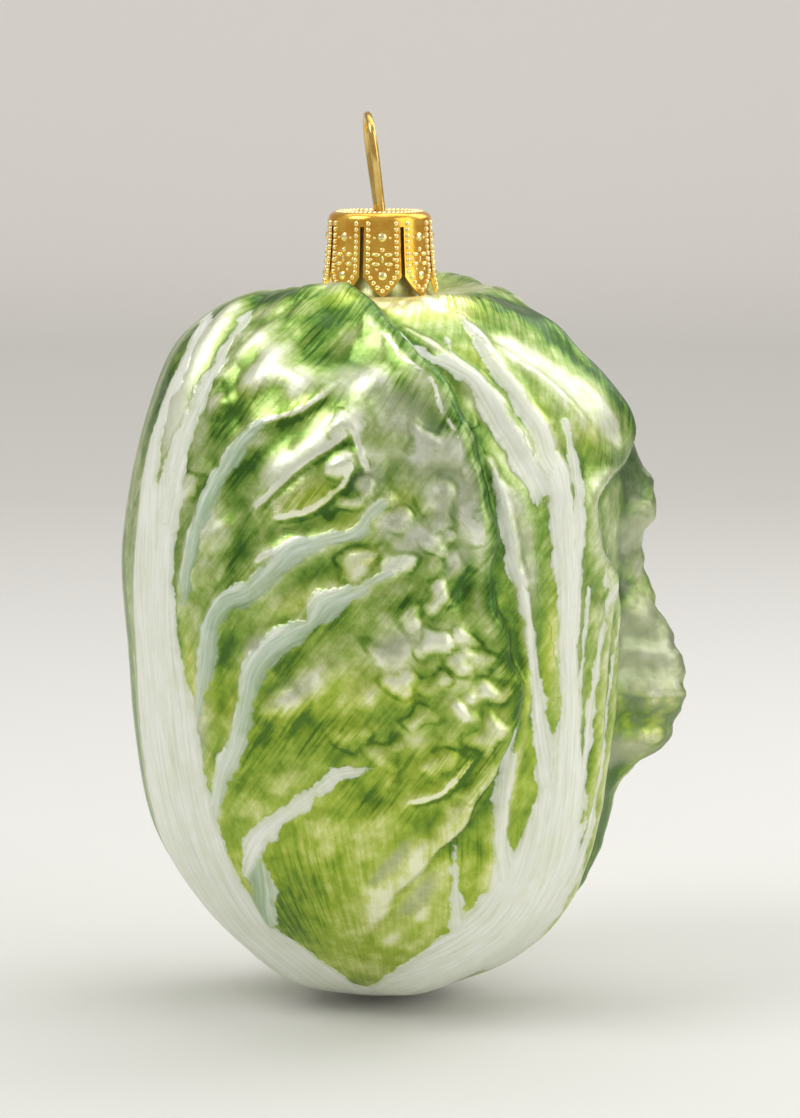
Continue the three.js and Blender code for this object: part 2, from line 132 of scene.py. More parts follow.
# The plain head without its relief: height, then how far it reaches left, right, forward and back.
HEAD_STATIONS = [
    (0.0, 0, 0, 0, 0),
    (0.5, 6.0, 5.8, 6.0, 6.0),
    (2.6, 11.6, 11.8, 12.2, 12.2),
    (7.0, 17.6, 18.0, 17.8, 17.8),
    (13.5, 23.8, 23.8, 22.6, 22.6),
    (22.5, 29.0, 27.6, 25.8, 25.8),
    (34.0, 31.4, 29.6, 27.4, 27.4),
    (46.0, 32.4, 30.2, 28.2, 28.2),
    (58.0, 33.0, 30.8, 28.6, 28.6),
    (69.0, 31.4, 31.2, 28.0, 28.0),
    (78.0, 28.8, 29.0, 25.8, 25.8),
    (85.0, 25.6, 22.6, 21.2, 21.2),
    (89.6, 19.6, 16.6, 15.8, 15.8),
    (91.5, 13.2, 11.8, 11.2, 11.2),
    (91.3, 9.6, 9.4, 9.2, 9.2),
    (90.9, 7.8, 7.8, 7.8, 7.8),
    (91.6, 6.3, 6.3, 6.3, 6.3),
    (93.6, 5.7, 5.7, 5.7, 5.7),
    (97.0, NECK_RADIUS, NECK_RADIUS, NECK_RADIUS, NECK_RADIUS),
    (NECK_TOP, NECK_RADIUS, NECK_RADIUS, NECK_RADIUS, NECK_RADIUS),
]

# Everything on the head is drawn in azimuth, in degrees round the neck's axis with 0 at the front and
# positive to the right, and in rise, in millimetres up the surface from the lowest point.
OUTER_LEAF_MARGIN = [
    (-24, 119), (-12, 115), (-4, 111), (7, 105), (16, 99), (19, 94), (23, 89), (24, 84), (27, 78),
    (26, 73), (29, 67), (34, 60), (33, 56), (28, 49), (21, 43), (13, 38), (4, 32), (-5, 25), (-16, 16),
    (-28, 8),
]
SIDE_LEAF_MARGIN = [
    (84, 118), (82, 110), (78, 104), (80, 99), (86, 94), (87, 89), (80, 86), (64, 84.5), (58, 82.5),
    (58, 79), (65, 74), (73, 69), (76, 61), (74, 52), (72, 43), (75, 34), (78, 26), (78, 18), (78, 8),
]
LEAF_STEP = 0.9
MARGIN_WAVE = 0.22

# A leaf rises at its margin, has a lip there and slopes down behind it over its reach in degrees. Near the
# bottom it fades out between two rises, and its band is how dark the lacquer lies along its margin, partly
# darker lacquer and partly painted shade on the leaf's step.
OUTER_LEAF = {
    "margin": OUTER_LEAF_MARGIN, "rise": 2.0, "lip": 0.7, "reach": 150, "fade": (20, 46), "band": 1,
}
SIDE_LEAF = {
    "margin": SIDE_LEAF_MARGIN, "rise": 1.5, "lip": 0.4, "reach": 95, "fade": (8, 24), "band": 0.35,
}

# Ribs stand up from the leaves: the height of the crest, then points of (azimuth, rise, half width).
RIBS = [
    (0.9, [
        (-60, 12, 7), (-60, 30, 8), (-61, 50, 7.5), (-60, 70, 6.5), (-60, 88, 5.5), (-57, 100, 4),
        (-55, 110, 2.5),
    ]),
    (0.9, [
        (20, 13, 6), (38, 25, 7.5), (49, 38, 7), (49, 52, 5), (47, 66, 4.5), (46, 78, 4), (43, 86, 3),
    ]),
    (0.6, [(43, 83, 2.2), (35, 90, 2.0), (28, 97, 1.8), (20, 102, 1.6), (9, 106, 1.2)]),
    (0.6, [(45, 86, 2.2), (40, 92, 2.0), (36, 98, 1.8), (34, 108, 1.2)]),
    (0.6, [(30, 34, 2.0), (31, 46, 1.8), (36, 62, 1.5), (32, 76, 1.3), (25, 88, 1.1)]),
    (0.5, [(62, 40, 2.0), (64, 55, 1.8), (66, 70, 1.4), (60, 81, 1.0)]),
]

# Blisters of the crinkled blade: azimuth, rise, half length, half width, tilt in degrees and height,
# which is below 0 for a dent.
BLISTERS = [
    (-19, 84, 6.6, 2.0, 38, 1.0), (-17, 89, 6.0, 1.6, 40, 0.8), (-8, 88, 2.3, 1.9, 30, 0.9),
    (-4, 84, 2.3, 1.7, 30, 0.9), (-29, 99, 3.4, 2.0, 60, 0.9), (-36, 103, 3.6, 1.8, 55, 0.8),
    (-40, 94, 2.6, 1.8, 50, 0.7), (-20, 98, 3.0, 2.4, 20, 1.0), (-9, 101, 3.4, 3.0, 0, -1.1),
    (1, 98, 3.4, 2.6, -25, 0.8), (10, 96, 3.0, 1.9, -40, 0.8), (-6, 93, 3.2, 2.0, 15, 0.8),
    (4, 92, 2.8, 2.0, 25, 0.8), (13, 90, 3.0, 2.0, 10, 0.9), (21, 79, 1.9, 3.2, 10, 0.9),
    (21, 73, 2.4, 3.2, -10, -0.8), (-2, 60, 3.2, 1.8, 35, 0.7), (-12, 62, 4.6, 1.8, 32, 0.7),
    (-20, 58, 4.6, 1.8, 30, 0.6), (18, 60, 9, 13, 0, 0.6), (3, 45, 4.0, 2.2, 45, 0.7),
    (-16, 38, 3.0, 5.5, -12, 0.6), (-2, 32, 3.4, 5.0, -25, 0.6), (-36, 60, 1.9, 4.4, 0, -0.6),
    (-38, 79, 2.2, 4.6, -20, 0.7), (-32, 84, 2.4, 3.4, -30, -0.6), (-24, 75, 5.2, 1.7, 34, 0.7),
    (-14, 74, 4.2, 1.5, 34, -0.5), (57, 99, 9.5, 3.2, -48, -0.9), (72, 104, 12, 3.0, -40, 0.9),
    (84, 91, 3.0, 3.4, 0, 0.7), (48, 98, 8.5, 1.2, -55, 0.5), (22, 99, 4.2, 1.6, -55, 0.7),
    (29, 84, 4.0, 1.2, -62, 0.5), (-26, 111, 4.5, 3.0, 0, 1.3), (-60, 108, 3.0, 2.6, 0, 0.5),
]

# Round bumps with a crease about each, in the same numbers as the blisters.
BUMPS = [
    (7, 69, 1.8, 1.7, 0, 0.6), (12, 66, 1.8, 1.4, 61, 0.6), (6, 61, 2.0, 1.7, 0, 0.7),
    (20.5, 63.5, 2.8, 1.6, -18, 0.7), (25, 59.5, 2.5, 1.5, -3, 0.9), (25, 54.5, 2.7, 1.9, 70, 0.9),
    (19, 57, 1.6, 1.3, 0, 0.6), (1, 52, 2.0, 1.6, 33, 0.6), (14.5, 51, 2.2, 1.7, 20, 0.7),
    (19, 66.5, 1.4, 1.1, 0, 0.5), (-6, 54, 1.7, 1.4, 24, 0.4), (18, 47, 2.2, 1.3, 45, 0.6),
    (13, 71.5, 1.9, 1.5, 39, 0.6), (16, 76, 2.1, 1.6, 90, 0.4), (13, 83, 3.1, 1.8, 90, 0.5),
    (0, 65, 1.7, 1.5, 0, 0.5), (-8, 87.5, 2.0, 1.6, 43, 0.7), (-2, 85, 1.7, 1.4, 32, 0.6),
    (-8, 83, 1.7, 1.3, 23, 0.5), (9, 91, 1.6, 1.5, 0, 0.5), (3, 81, 1.7, 1.5, 0, 0.5),
    (5, 76, 1.6, 1.5, 0, 0.6), (-4, 76, 2.8, 1.6, 44, 0.8), (9, 56.5, 1.6, 1.4, 10, 0.5),
    (-45, 95, 2.0, 2.4, 69, 0.4), (-47, 84, 2.2, 1.8, 4, 0.5), (-8, 92, 1.5, 1.3, 0, 0.5),
    (12, 61, 1.6, 1.3, 30, 0.5), (86, 66, 2.0, 1.3, 70, 0.5), (86, 61.5, 1.6, 1.3, 0, 0.6),
    (87, 56, 3.0, 1.4, -10, 0.7), (84, 51, 2.4, 1.4, 20, 0.4), (86, 71, 2.2, 1.2, 80, 0.4),
    (82, 59, 1.8, 1.2, 30, -0.5), (82, 64, 2.2, 1.2, 60, -0.4), (19, 92, 2.0, 0.9, 55, 0.5),
    (22, 88, 2.0, 0.8, 66, 0.5), (20, 81, 2.7, 0.7, 93, 0.5), (13, 78, 1.6, 1.3, 20, 0.5),
    (86, 80, 1.8, 1.4, 0, 0.6), (83, 68, 1.4, 1.1, 20, 0.5), (81, 54, 1.6, 1.2, 10, 0.5),
    (84, 75, 1.6, 1.1, 60, 0.4),
]
BUMP_SCALE = 0.62

# Sharp creases, each drawn from left to right: the glass is raised just above it and drops off below it.
CREASES = [
    [(-29, 91.8), (-21.5, 93), (-17.5, 93.7), (-14, 95)],
    [(-25, 82.7), (-21.5, 84.5), (-18, 86.5), (-14.5, 88), (-7.5, 90.5)],
    [(-20, 81), (-13.5, 82), (-9.5, 84), (-7, 85), (-5.5, 87)],
    [(-6, 91), (-4.5, 89), (-3.5, 87.5)],
    [(9, 46), (15, 47), (20.5, 50.5)],
    [(-24, 76), (-18, 78)],
]
CREASE_HEIGHT = 0.6

VEIN_HEIGHT = 0.4

# The crinkle covers the blade. It is low over the smooth shoulder and finer in the bumpy regions, which
# are soft patches too: azimuth, rise, half length, half width and tilt in degrees.
CRINKLE_HEIGHT = 0.6
SMOOTH_SHOULDER = (62, 98, 14, 8, -40)
BUMPY_REGIONS = [(13, 61, 9, 16, 0), (2, 84, 9, 7, 0)]

# The frilled edge of the far leaf stands out along the mould's seam on the right: (rise, reach) points.
FRILL_AZIMUTH = 90
FRILL_HALF_THICKNESS = 2.9
FRILL = [
    (14, 0), (22, 1.4), (34, 1.8), (42, 1.6), (45.5, 3.0), (48.5, 6.6), (52, 8.4), (56.5, 9.3),
    (60.5, 8.6), (64, 6.9), (67, 5.0), (70, 3.9), (73.5, 2.7), (76, 2.8), (79.5, 4.1), (82, 3.8),
    (85, 2.2), (88, 1.2), (91, 0.4), (96, 0),
]
FRILL_WAVE = 0.22

# Pleats on the frill's faces: (rise, height) points.
FRILL_PLEATS = [
    (42, 0), (44.5, 0.4), (47, -0.3), (49.5, 0.5), (51.5, -0.5), (53.5, 0.3), (56.5, 1.3), (59, -0.6),
    (61, 0.3), (63, -0.8), (65, 0.5), (67, 0.9), (69.5, -0.5), (72, 0.4), (74, -0.4), (76.5, 0.4),
    (79, 0.8), (82, -0.4), (85, 0.2), (88, 0),
]

# Brush strokes of opaque paint: points of (azimuth, rise, half width).
LEFT_RIB = [
    (-56, 8, 9), (-52, 16, 9.5), (-55, 24, 8.8), (-54.5, 30, 7.6), (-54, 38, 7.0), (-55.5, 46, 6.9),
    (-57, 58, 6.3), (-57.5, 66, 5.2), (-56.8, 74, 4.4), (-58.5, 82, 4.5), (-61, 88, 4.5), (-63, 94, 2.8),
    (-61, 100, 1.6), (-66, 105, 1.5), (-77, 107, 0.8),
]
LEFT_STRAND = [
    (-54, 80, 3), (-53, 86, 2.2), (-50, 94, 1.3), (-46, 100, 1.2), (-45.5, 105, 1.0), (-48, 108, 0.5),
]
RIGHT_RIB = [
    (10, 13, 4), (30, 20, 6.5), (44, 27, 8.5), (49, 35, 7.5), (50, 44, 5.0), (49.5, 52, 2.8),
    (49.5, 58, 1.9), (47.5, 65, 2.0), (47, 71, 2.1), (45, 77, 2.1), (42, 86.5, 1.7),
]
WHITE_STROKES = [
    LEFT_RIB,
    LEFT_STRAND,
    RIGHT_RIB,
    [
        (7.5, 104, 0.4), (15, 101.5, 0.8), (21.5, 99.5, 1.1), (25.5, 97.5, 1.3), (28.5, 93.5, 1.4),
        (33, 89, 1.5), (37.5, 84, 1.5),
    ],
    [(23, 104.5, 0.3), (23, 101.5, 0.5), (25.5, 99, 0.6)],
    [(33, 107, 0.3), (33, 100.5, 0.9), (35, 96, 1.1), (39, 92, 1.4), (41.5, 86.5, 1.7)],
    [(49, 92, 0.4), (49.5, 88, 0.9), (49.5, 82.5, 1.2), (50, 76, 1.5), (49, 66, 1.6)],
    [
        (26.5, 86.5, 0.4), (28, 81.5, 0.8), (30.5, 76, 0.8), (34, 70.5, 0.8), (36.5, 65.5, 1.0),
        (39, 59, 1.2), (41, 53, 1.3), (44, 47, 1.8),
    ],
    [
        (31.5, 55, 0.3), (30.5, 50, 1.0), (30.5, 45.5, 1.2), (31.5, 40, 1.3), (34.5, 36.5, 2.1),
        (38, 32, 2.5),
    ],
    [(55.5, 71, 0.2), (55, 65, 0.5), (53.5, 58, 0.6), (52, 50, 1.0)],
    [(68, 75, 0.2), (65, 70, 0.6), (61.5, 63, 0.8), (59, 55, 0.9), (57, 46.5, 1.2), (57, 40, 1.6)],
    [(58, 83, 0.2), (60, 77, 0.5), (62, 71, 0.4)],
    [
        (72, 66, 0.2), (68, 56, 0.6), (65.5, 48.5, 0.8), (65.5, 40.5, 0.9), (66.5, 33.5, 1.4),
        (66, 26, 2.6), (62, 20, 4),
    ],
    [(19.5, 40, 0.2), (20, 36, 0.5), (21.5, 32, 0.8), (25, 27.5, 1.4)],
    [
        (-36, 35.3, 0.5), (-32.5, 37.8, 1.4), (-29.5, 40.2, 1.5), (-25, 42.6, 1.2), (-20, 44.7, 1.0),
        (-14.5, 46.9, 0.9), (-9.5, 49.2, 1.0), (-5, 49.9, 0.6), (0, 50.6, 0.2),
    ],
]
# The veins' strokes, each with how green its paint is.
MINT_STROKES = [
    (1.0, [
        (-47, 68.7, 0.4), (-45.5, 71.5, 1.0), (-43.7, 75, 1.3), (-40.8, 81, 1.4), (-39, 83.8, 1.4),
        (-36.5, 86.3, 1.2), (-33.5, 88.8, 1.2), (-31.3, 90.6, 0.9), (-28.2, 91.8, 0.5), (-24, 92.6, 0.2),
    ]),
    (0.8, [
        (-43.2, 56, 0.4), (-41.5, 59.5, 1.1), (-39.5, 64, 1.4), (-37.5, 68, 1.4), (-33.5, 70.5, 1.4),
        (-29, 71.5, 1.6), (-25.5, 72.8, 1.2), (-21, 75.2, 1.3), (-17, 77.3, 1.4), (-13, 78.2, 0.8),
        (-5, 79.5, 0.8), (-1.5, 81.8, 0.6), (2, 83.5, 0.2),
    ]),
    (0.45, [
        (-40.3, 43, 0.5), (-38.5, 46.5, 1.2), (-36.5, 49, 1.5), (-33.5, 51.8, 1.3), (-31, 55, 1.2),
        (-29.2, 58.5, 1.2), (-27.7, 61.8, 1.6), (-24.5, 64.3, 1.6), (-21, 66, 1.8), (-17.5, 67.2, 1.7),
        (-13.8, 68.2, 1.1), (-11, 70.5, 1.9), (-7.5, 71.5, 1.5), (-4, 72.6, 0.9), (0, 74.1, 0.5),
        (4.5, 75.4, 0.2),
    ]),
    (1.0, [(-30, 38, 0.8), (-31.5, 34, 1.8), (-33.5, 31.5, 1.6), (-35.5, 28.5, 1.2), (-37, 26, 0.4)]),
]
PAINT_GAPS = [
    [(34, 58, 0.3), (34.5, 53, 0.6), (36, 46.5, 0.8), (36.5, 41, 0.3)],
    [(39, 77, 0.5), (40.5, 69, 0.6), (42, 62.5, 0.6), (43.5, 55, 0.3)],
    [(65, 66, 0.3), (63.5, 56, 0.5), (62, 48.5, 0.4), (59.5, 41, 0.2)],
    [(58, 63, 0.4), (56, 57, 0.5), (55.5, 50, 0.2)],
    [(-81, 20, 0.2), (-80, 35, 0.35), (-79, 50, 0.3), (-80, 62, 0.15)],
    [(-57, 84, 0.2), (-57, 89, 0.8), (-56, 94, 1.6)],
    [(-48.5, 77, 0.3), (-47.5, 70, 0.8), (-46.5, 64, 1.0), (-46, 60, 0.4)],
]
BASE_PAINT_RISE = 14

# The lacquer's streaks are measured round the head from this line, where they meet their mirror image.
SEAM_AZIMUTH = 96
STREAK_MM_PER_DEGREE = 0.5
STREAK_WIDTH = 0.6
STREAK_LENGTH = 9
LOW_STREAK_TILT = -6
HIGH_STREAK_TILT = 34
STREAK_TURN_RISE = (38, 48)

# The streaks inside a stroke of opaque paint.
BRISTLE_WIDTH = 0.45
BRISTLE_LENGTH = 9

# Sizes, in millimetres, of the clouds and spots in the lacquer and of the fine domes in the glass.
CLOUD_SIZE = 5.0
MOTTLE_SIZE = 2.2
DOME_SIZE = 3.0
FRILL_DOME_SIZE = 2.2
FINE_GRAIN_SIZE = 0.25
EDGE_WANDER_SIZE = 2.6
EDGE_NIBBLE_SIZE = 0.7

# Rises between which a look changes: the low blade's yellower green ends, the neck and the hollow in front
# of it grow pale, partly thinner lacquer and partly painted light against the cap's shade, and the frill's
# look starts and ends.
LOW_BLADE_RISE = (45, 80)
NECK_PALE_AND_LIT_RISE = (112, 119)
HOLLOW_PALE_AND_LIT_RISE = (106, 111)
FRILL_FOOT_RISE = (43, 49)
FRILL_TOP_RISE = (84, 92)

# Colours of the lacquer by its depth, from bare silver to the deepest green, and of the brushed paint.
COOL_LACQUER = [
    (0.0, "#EEF2E0"), (0.2, "#D0DBB6"), (0.4, "#A9BD80"), (0.6, "#7E9F4C"), (0.8, "#507F22"),
    (1.0, "#28560A"),
]
WARM_LACQUER = [
    (0.0, "#F3F6D0"), (0.25, "#D2DC80"), (0.5, "#A8BE3E"), (0.75, "#7F9F20"), (1.0, "#4C7410"),
]
# A gray for silver rubbed bare, also standing in for a painted reflection of the darker surroundings.
WORN_AND_REFLECTED_GRAY = "#A9AE90"
NECK_THIN_AND_LIT_DEPTH = 0.08
WHITE_PAINT = [(0.3, "#D8DDCA"), (0.46, "#EAEDE0"), (0.64, "#F5F7F0")]
MINT_PAINT = [(0.2, "#7E9E78"), (0.42, "#A7BE9F"), (0.6, "#C6D5C1"), (0.78, "#EAF0E4")]
# The paper's tones by distance back: lighter near, darker behind, lighter at the wall, painted light
# falloff.
PAPER_SHADE_BY_DISTANCE = [(0.0, "#E3E2E0"), (0.2, "#D5D3D1"), (0.6, "#D8D6D3"), (1.0, "#F0EDEB")]

# Where the lacquer is nearly bare with a crisp edge, a painted highlight of a window, and where it lies in
# a dark band along the head's outline, partly pooled lacquer and partly painted shade.
WINDOWS = [[(43, 104, 1.0), (50, 101.5, 2.4), (58, 97.5, 2.6), (66, 93, 3.2), (71, 90.5, 2.6)]]
DEEP_BANDS = [
    [
        (34, 112, 0.8), (47, 111.3, 1.8), (63, 108, 2.2), (71, 103, 2.2), (80, 97, 2.4), (87, 91.5, 2.4),
        (86, 85, 2.4),
    ],
    [
        (-73, 88, 1.0), (-71, 96, 1.2), (-70, 104, 1.4), (-63, 110, 1.6), (-43, 111.5, 1.6),
        (-30, 112, 1.2),
    ],
    [(82, 18, 1.2), (84, 28, 1.8), (85, 37, 2.0), (82, 44, 1.2)],
    [(-79, 22, 0.8), (-78, 40, 1.2), (-77, 60, 1.2), (-78, 76, 0.8)],
]

# Soft patches of the lacquer: azimuth, rise, half length, half width and tilt in degrees.
# Deep patches darken the lacquer; those at the sides, towards the outline, are partly painted shade.
DEEP_PATCHES = [
    (-30, 110, 6.1, 1.2, 3), (-17, 103, 6.0, 1.8, 95), (-32, 87, 3.9, 1.6, 58), (-31, 76, 5.2, 1.2, 76),
    (5, 97, 2.4, 1.4, -66), (17, 72, 2.6, 1.2, 61), (-85, 97, 6.5, 2.4, 95), (65, 108, 12, 4.5, -28),
    (89, 96, 6.4, 4.3, 97), (87, 87, 4.1, 3.3, 86), (66, 87, 5.9, 1.6, -5), (86, 36, 12, 2.0, 84),
    (-40, 92, 3.2, 1.8, 80), (-15, 107, 4.3, 2.0, 11), (-33, 66, 4.0, 1.2, 67), (5, 71, 2.1, 1.2, 31),
    (-17, 54, 3.8, 1.6, 61), (22, 50, 4.4, 1.4, 61), (16, 92, 2.5, 1.4, 38),
]
GRASS_PATCHES = [
    (-23, 33, 10, 4.2, 60), (-24, 27, 5, 3.0, 60), (-25, 54, 6.4, 2.3, 55), (-20, 64, 4.5, 1.6, 42),
    (-10, 69, 3.0, 1.4, 33), (-34, 95, 3.2, 2.0, 57), (-19, 94, 4.2, 1.5, 17), (0, 46, 4.7, 2.8, -33),
    (12, 51, 4.8, 2.1, 8), (-17, 83, 4.2, 1.2, 22), (-28, 73, 3.9, 1.2, 32), (30, 63, 1.9, 7.7, 0),
    (23, 39, 1.6, 4.1, 86), (43.5, 76, 6, 1.0, 90), (-8, 55, 4, 2.4, 30),
]
# Bare patches: grayer, thinner lacquer, partly bare silver and partly a painted reflection.
BARE_AND_REFLECTION_PATCHES = [
    (-7, 98, 2.7, 3.0, 0), (35, 76, 7.9, 1.3, -79), (4, 66, 4.0, 2.5, 31), (-44, 53, 5.1, 1.6, 78),
    (84, 63, 4.0, 2.6, 90), (82, 48, 3.0, 2.0, 0), (84, 76, 3.8, 3.0, 89), (-17, 60, 3.4, 1.7, 33),
    (3, 81, 2.6, 1.4, 61), (14, 83, 1.0, 2.1, -3), (17, 76, 2.1, 1.5, 60), (6, 94, 4.0, 2.6, -40),
    (12, 88, 3.4, 3.4, 0), (20, 84, 2.4, 5.0, 0), (11, 33, 5.2, 2.0, 57), (3, 38, 5.0, 1.0, 52),
    (-2, 86, 2.2, 1.6, 30), (9, 79, 3.0, 2.0, 40), (84, 60, 3.0, 4.0, 0), (-17, 77, 2.4, 1.0, 33),
    (-26, 65, 2.0, 1.6, 4),
]
# Pale patches: partly thinner lacquer and partly painted highlights.
PALE_HIGHLIGHT_PATCHES = [
    (-56, 102, 2.9, 2.5, 80), (-31, 99, 3.3, 1.8, 63), (-49, 83, 1.6, 1.3, 5), (-15, 89, 5.1, 1.2, 38),
    (5, 78, 3.3, 1.6, 42), (-11, 92, 2.3, 1.5, 0), (0, 89, 3.1, 1.0, 0), (18, 66, 1.7, 1.8, -2),
    (23, 60, 4.1, 1.6, 9), (25, 54, 1.4, 2.9, -19), (84, 56.5, 3.2, 1.5, 0), (84, 67, 2.0, 1.0, 0),
    (9, 67, 1.9, 1.5, 0), (4, 64, 2.4, 1.5, 32), (8, 54, 1.4, 1.5, 0), (-57, 98, 2.2, 3.0, -6),
    (-56, 92, 1.7, 3.3, -2), (-28, 90, 1.2, 0.8, 30), (-20, 96, 1.6, 1.1, 47), (10, 89, 2.5, 1.1, 0),
    (18, 83, 0.9, 3.6, 0), (29, 88, 2.0, 0.8, -57), (23, 95, 2.9, 1.1, -60), (19, 92, 1.6, 0.8, 55),
    (21, 87, 1.4, 0.7, 66), (14, 80, 1.2, 1.0, 0), (9, 36, 1.8, 1.0, 55), (12, 30, 1.6, 0.9, 60),
    (4, 26, 1.8, 1.0, 60), (84, 49, 1.6, 1.0, 0),
]
LIME_PATCHES = [
    (-14, 84, 3.2, 1.7, 34), (-12, 110, 3.1, 1.2, 13), (-17, 71, 3.1, 1.4, 33), (-10, 59, 6.7, 2.9, 34),
    (-38, 36, 1.5, 4.9, 7), (36, 50, 1.2, 6.8, -5), (32, 35, 1.8, 4.5, -8), (-45, 62, 1.0, 4.7, 6),
    (6, 60, 2.4, 1.9, 0), (14, 50, 4.1, 1.8, 8), (-7, 19, 4.3, 2.0, 3), (42, 65, 1.0, 7.6, -3),
    (42, 92, 1.6, 4.2, 16), (1, 49, 3.2, 1.5, 22), (-6, 81, 3.4, 1.4, 22), (5, 83, 1.4, 2.2, -21),
    (30, 101, 3.0, 1.4, -44), (84, 52, 4, 1.8, 0), (-3, 33, 11, 12, 0), (35, 57, 12, 1, -75),
    (57, 90, 3.5, 2.3, -5), (-34, 58, 2.7, 3.8, 4), (11, 110, 5.8, 1.6, -11), (-8, 41, 4, 3, 24),
    (10, 37, 5, 5, 0), (-4, 76, 3.0, 1.8, 40), (10, 118, 4, 2.5, 0), (-10, 116, 4, 2.0, 0),
]


def place(point):
    """A point of the part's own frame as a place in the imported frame."""
    return Vector((AXIS_X + point[0] * MM, AXIS_Y + point[1] * MM, FOOT_Z + point[2] * MM))


def smooth(low, high, value):
    """0 at low and 1 at high, with a soft step between them."""
    share = np.clip((value - low) / (high - low), 0, 1)
    return share * share * (3 - 2 * share)


def turn_within(azimuth):
    """The same azimuth between -180 and 180."""
    return (azimuth + 180) % 360 - 180


def along_rows(rows, t):
    """Points of the smooth curve through rows of numbers, for t from 0 to the last row's index."""
    rows = np.array(rows, float)
    padded = np.vstack([2 * rows[0] - rows[1], rows, 2 * rows[-1] - rows[-2]])
    t = np.clip(np.asarray(t, float), 0, len(rows) - 1)
    i = np.minimum(t.astype(int), len(rows) - 2)
    f = (t - i)[..., None]
    a, b, c, d = padded[i], padded[i + 1], padded[i + 2], padded[i + 3]
    square = (2 * a - 5 * b + 4 * c - d) * f ** 2
    cube = (3 * b - a - 3 * c + d) * f ** 3
    return 0.5 * (2 * b + (c - a) * f + square + cube)


def refined(path, steps=3):
    """The smooth curve through a path's points, in a number of steps from each point to the next."""
    return along_rows(path, np.arange((len(path) - 1) * steps + 1) / steps)


last_station = len(HEAD_STATIONS) - 1
MERIDIAN = along_rows(HEAD_STATIONS, np.linspace(0, last_station, STATION_STEPS * last_station + 1))
MEAN_RADII = MERIDIAN[:, 1:].mean(axis=1)
RISES = np.concatenate([[0], np.cumsum(np.hypot(np.diff(MEAN_RADII), np.diff(MERIDIAN[:, 0])))])
MERIDIAN_LENGTH = RISES[-1]


def plain_point(azimuth, rise):
    """Points of the plain head, without its relief."""
    height, left, right, front, back = (np.interp(rise, RISES, MERIDIAN[:, k]) for k in range(5))
    across = np.sin(np.radians(azimuth))
    ahead = np.cos(np.radians(azimuth))
    x = np.where(across > 0, right, left) * across
    y = -np.where(ahead > 0, front, back) * ahead
    return np.stack([x, y, height], axis=-1)


def plain_normal(azimuth, rise):
    """The outward direction of the plain head."""
    across = plain_point(azimuth + 0.5, rise) - plain_point(azimuth - 0.5, rise)
    up = plain_point(azimuth, rise + 0.2) - plain_point(azimuth, rise - 0.2)
    normal = np.cross(across, up)
    return normal / np.maximum(np.linalg.norm(normal, axis=-1, keepdims=True), 1e-9)


class Place:
    """Where some points of the head lie, with the size of a degree there."""

    def __init__(self, azimuth, rise):
        self.azimuth = azimuth
        self.rise = rise
        self.mm = np.interp(rise, RISES, MEAN_RADII) * math.pi / 180

    def turned(self):
        """The same points as the far half's drawing has them."""
        return Place(turn_within(self.azimuth + HALF_TURN), self.rise)

    def part(self, mask):
        return Place(self.azimuth[mask], self.rise[mask])


def nearest_on(curve, at):
    """Distance in millimetres to a curve, how far across it on its left, and the curve's row there."""
    curve = np.array(curve, float)
    best = np.full(at.azimuth.shape, np.inf)
    across = np.zeros(at.azimuth.shape)
    row = np.repeat(curve[:1], len(best), axis=0)
    for start, end in zip(curve[:-1], curve[1:]):
        x = turn_within(at.azimuth - start[0]) * at.mm
        y = at.rise - start[1]
        dx = (end[0] - start[0]) * at.mm
        dy = end[1] - start[1]
        length = np.hypot(dx, dy)
        f = np.clip((x * dx + y * dy) / length ** 2, 0, 1)
        distance = np.hypot(x - f * dx, y - f * dy)
        closer = distance < best
        best = np.where(closer, distance, best)
        across = np.where(closer, (dx * y - dy * x) / length, across)
        row = np.where(closer[:, None], start + f[:, None] * (end - start), row)
    return best, across, row


def near(curve, at, margin):
    """Which points lie within a margin, in millimetres, of a curve's extent."""
    curve = np.array(curve, float)
    middle = (curve[:, 0].min() + curve[:, 0].max()) / 2
    half = (curve[:, 0].max() - curve[:, 0].min()) / 2
    aside = (np.abs(turn_within(at.azimuth - middle)) - half) * at.mm
    above_foot = at.rise > curve[:, 1].min() - margin
    below_top = at.rise < curve[:, 1].max() + margin
    return (aside < margin) & above_foot & below_top


def along_path(path, at, margin):
    """Which points lie near a path, their distance to it, how far across it they lie, and its row there."""
    mask = near(path, at, margin)
    distance, across, row = nearest_on(refined(path), at.part(mask))
    return mask, distance, across, row


def leaf_height(leaf, at):
    """A step and a rolled lip at the leaf's free margin, and a long slope behind it."""
    margin = refined(leaf["margin"])
    order = np.argsort(margin[:, 1])
    behind = turn_within(np.interp(at.rise, margin[order, 1], margin[order, 0]) - at.azimuth)
    distance, _, _ = nearest_on(margin, at)
    inside = np.where(behind > 0, distance, -distance)
    inside = inside + MARGIN_WAVE * (np.sin(at.rise * 0.47 + 1) + np.sin(at.rise * 1.03 + 2))
    slope = np.where(behind > 0, 1 - behind / leaf["reach"], 1)
    step = leaf["rise"] * slope * smooth(-LEAF_STEP, LEAF_STEP, inside)
    lip = np.exp(-(((inside - 1.5) / 1.4) ** 2)) - 0.25 * np.exp(-(((inside - 4.6) / 1.6) ** 2))
    height = (step + leaf["lip"] * lip) * smooth(*leaf["fade"], at.rise)
    return np.where(behind > leaf["reach"], 0, height), inside


def leaves_at(at):
    """The two leaves of the near half, and the far half's outer leaf."""
    return [(OUTER_LEAF, at), (SIDE_LEAF, at), (OUTER_LEAF, at.turned())]


def rib_height(crest, path, at):
    """A smooth round ridge along a path of (azimuth, rise, half width)."""
    height = np.zeros(at.azimuth.shape)
    mask, distance, _, row = along_path(path, at, 9)
    share = np.clip(distance / row[:, 2], 0, 1)
    height[mask] = crest * (1 - share ** 2) ** 2
    return height


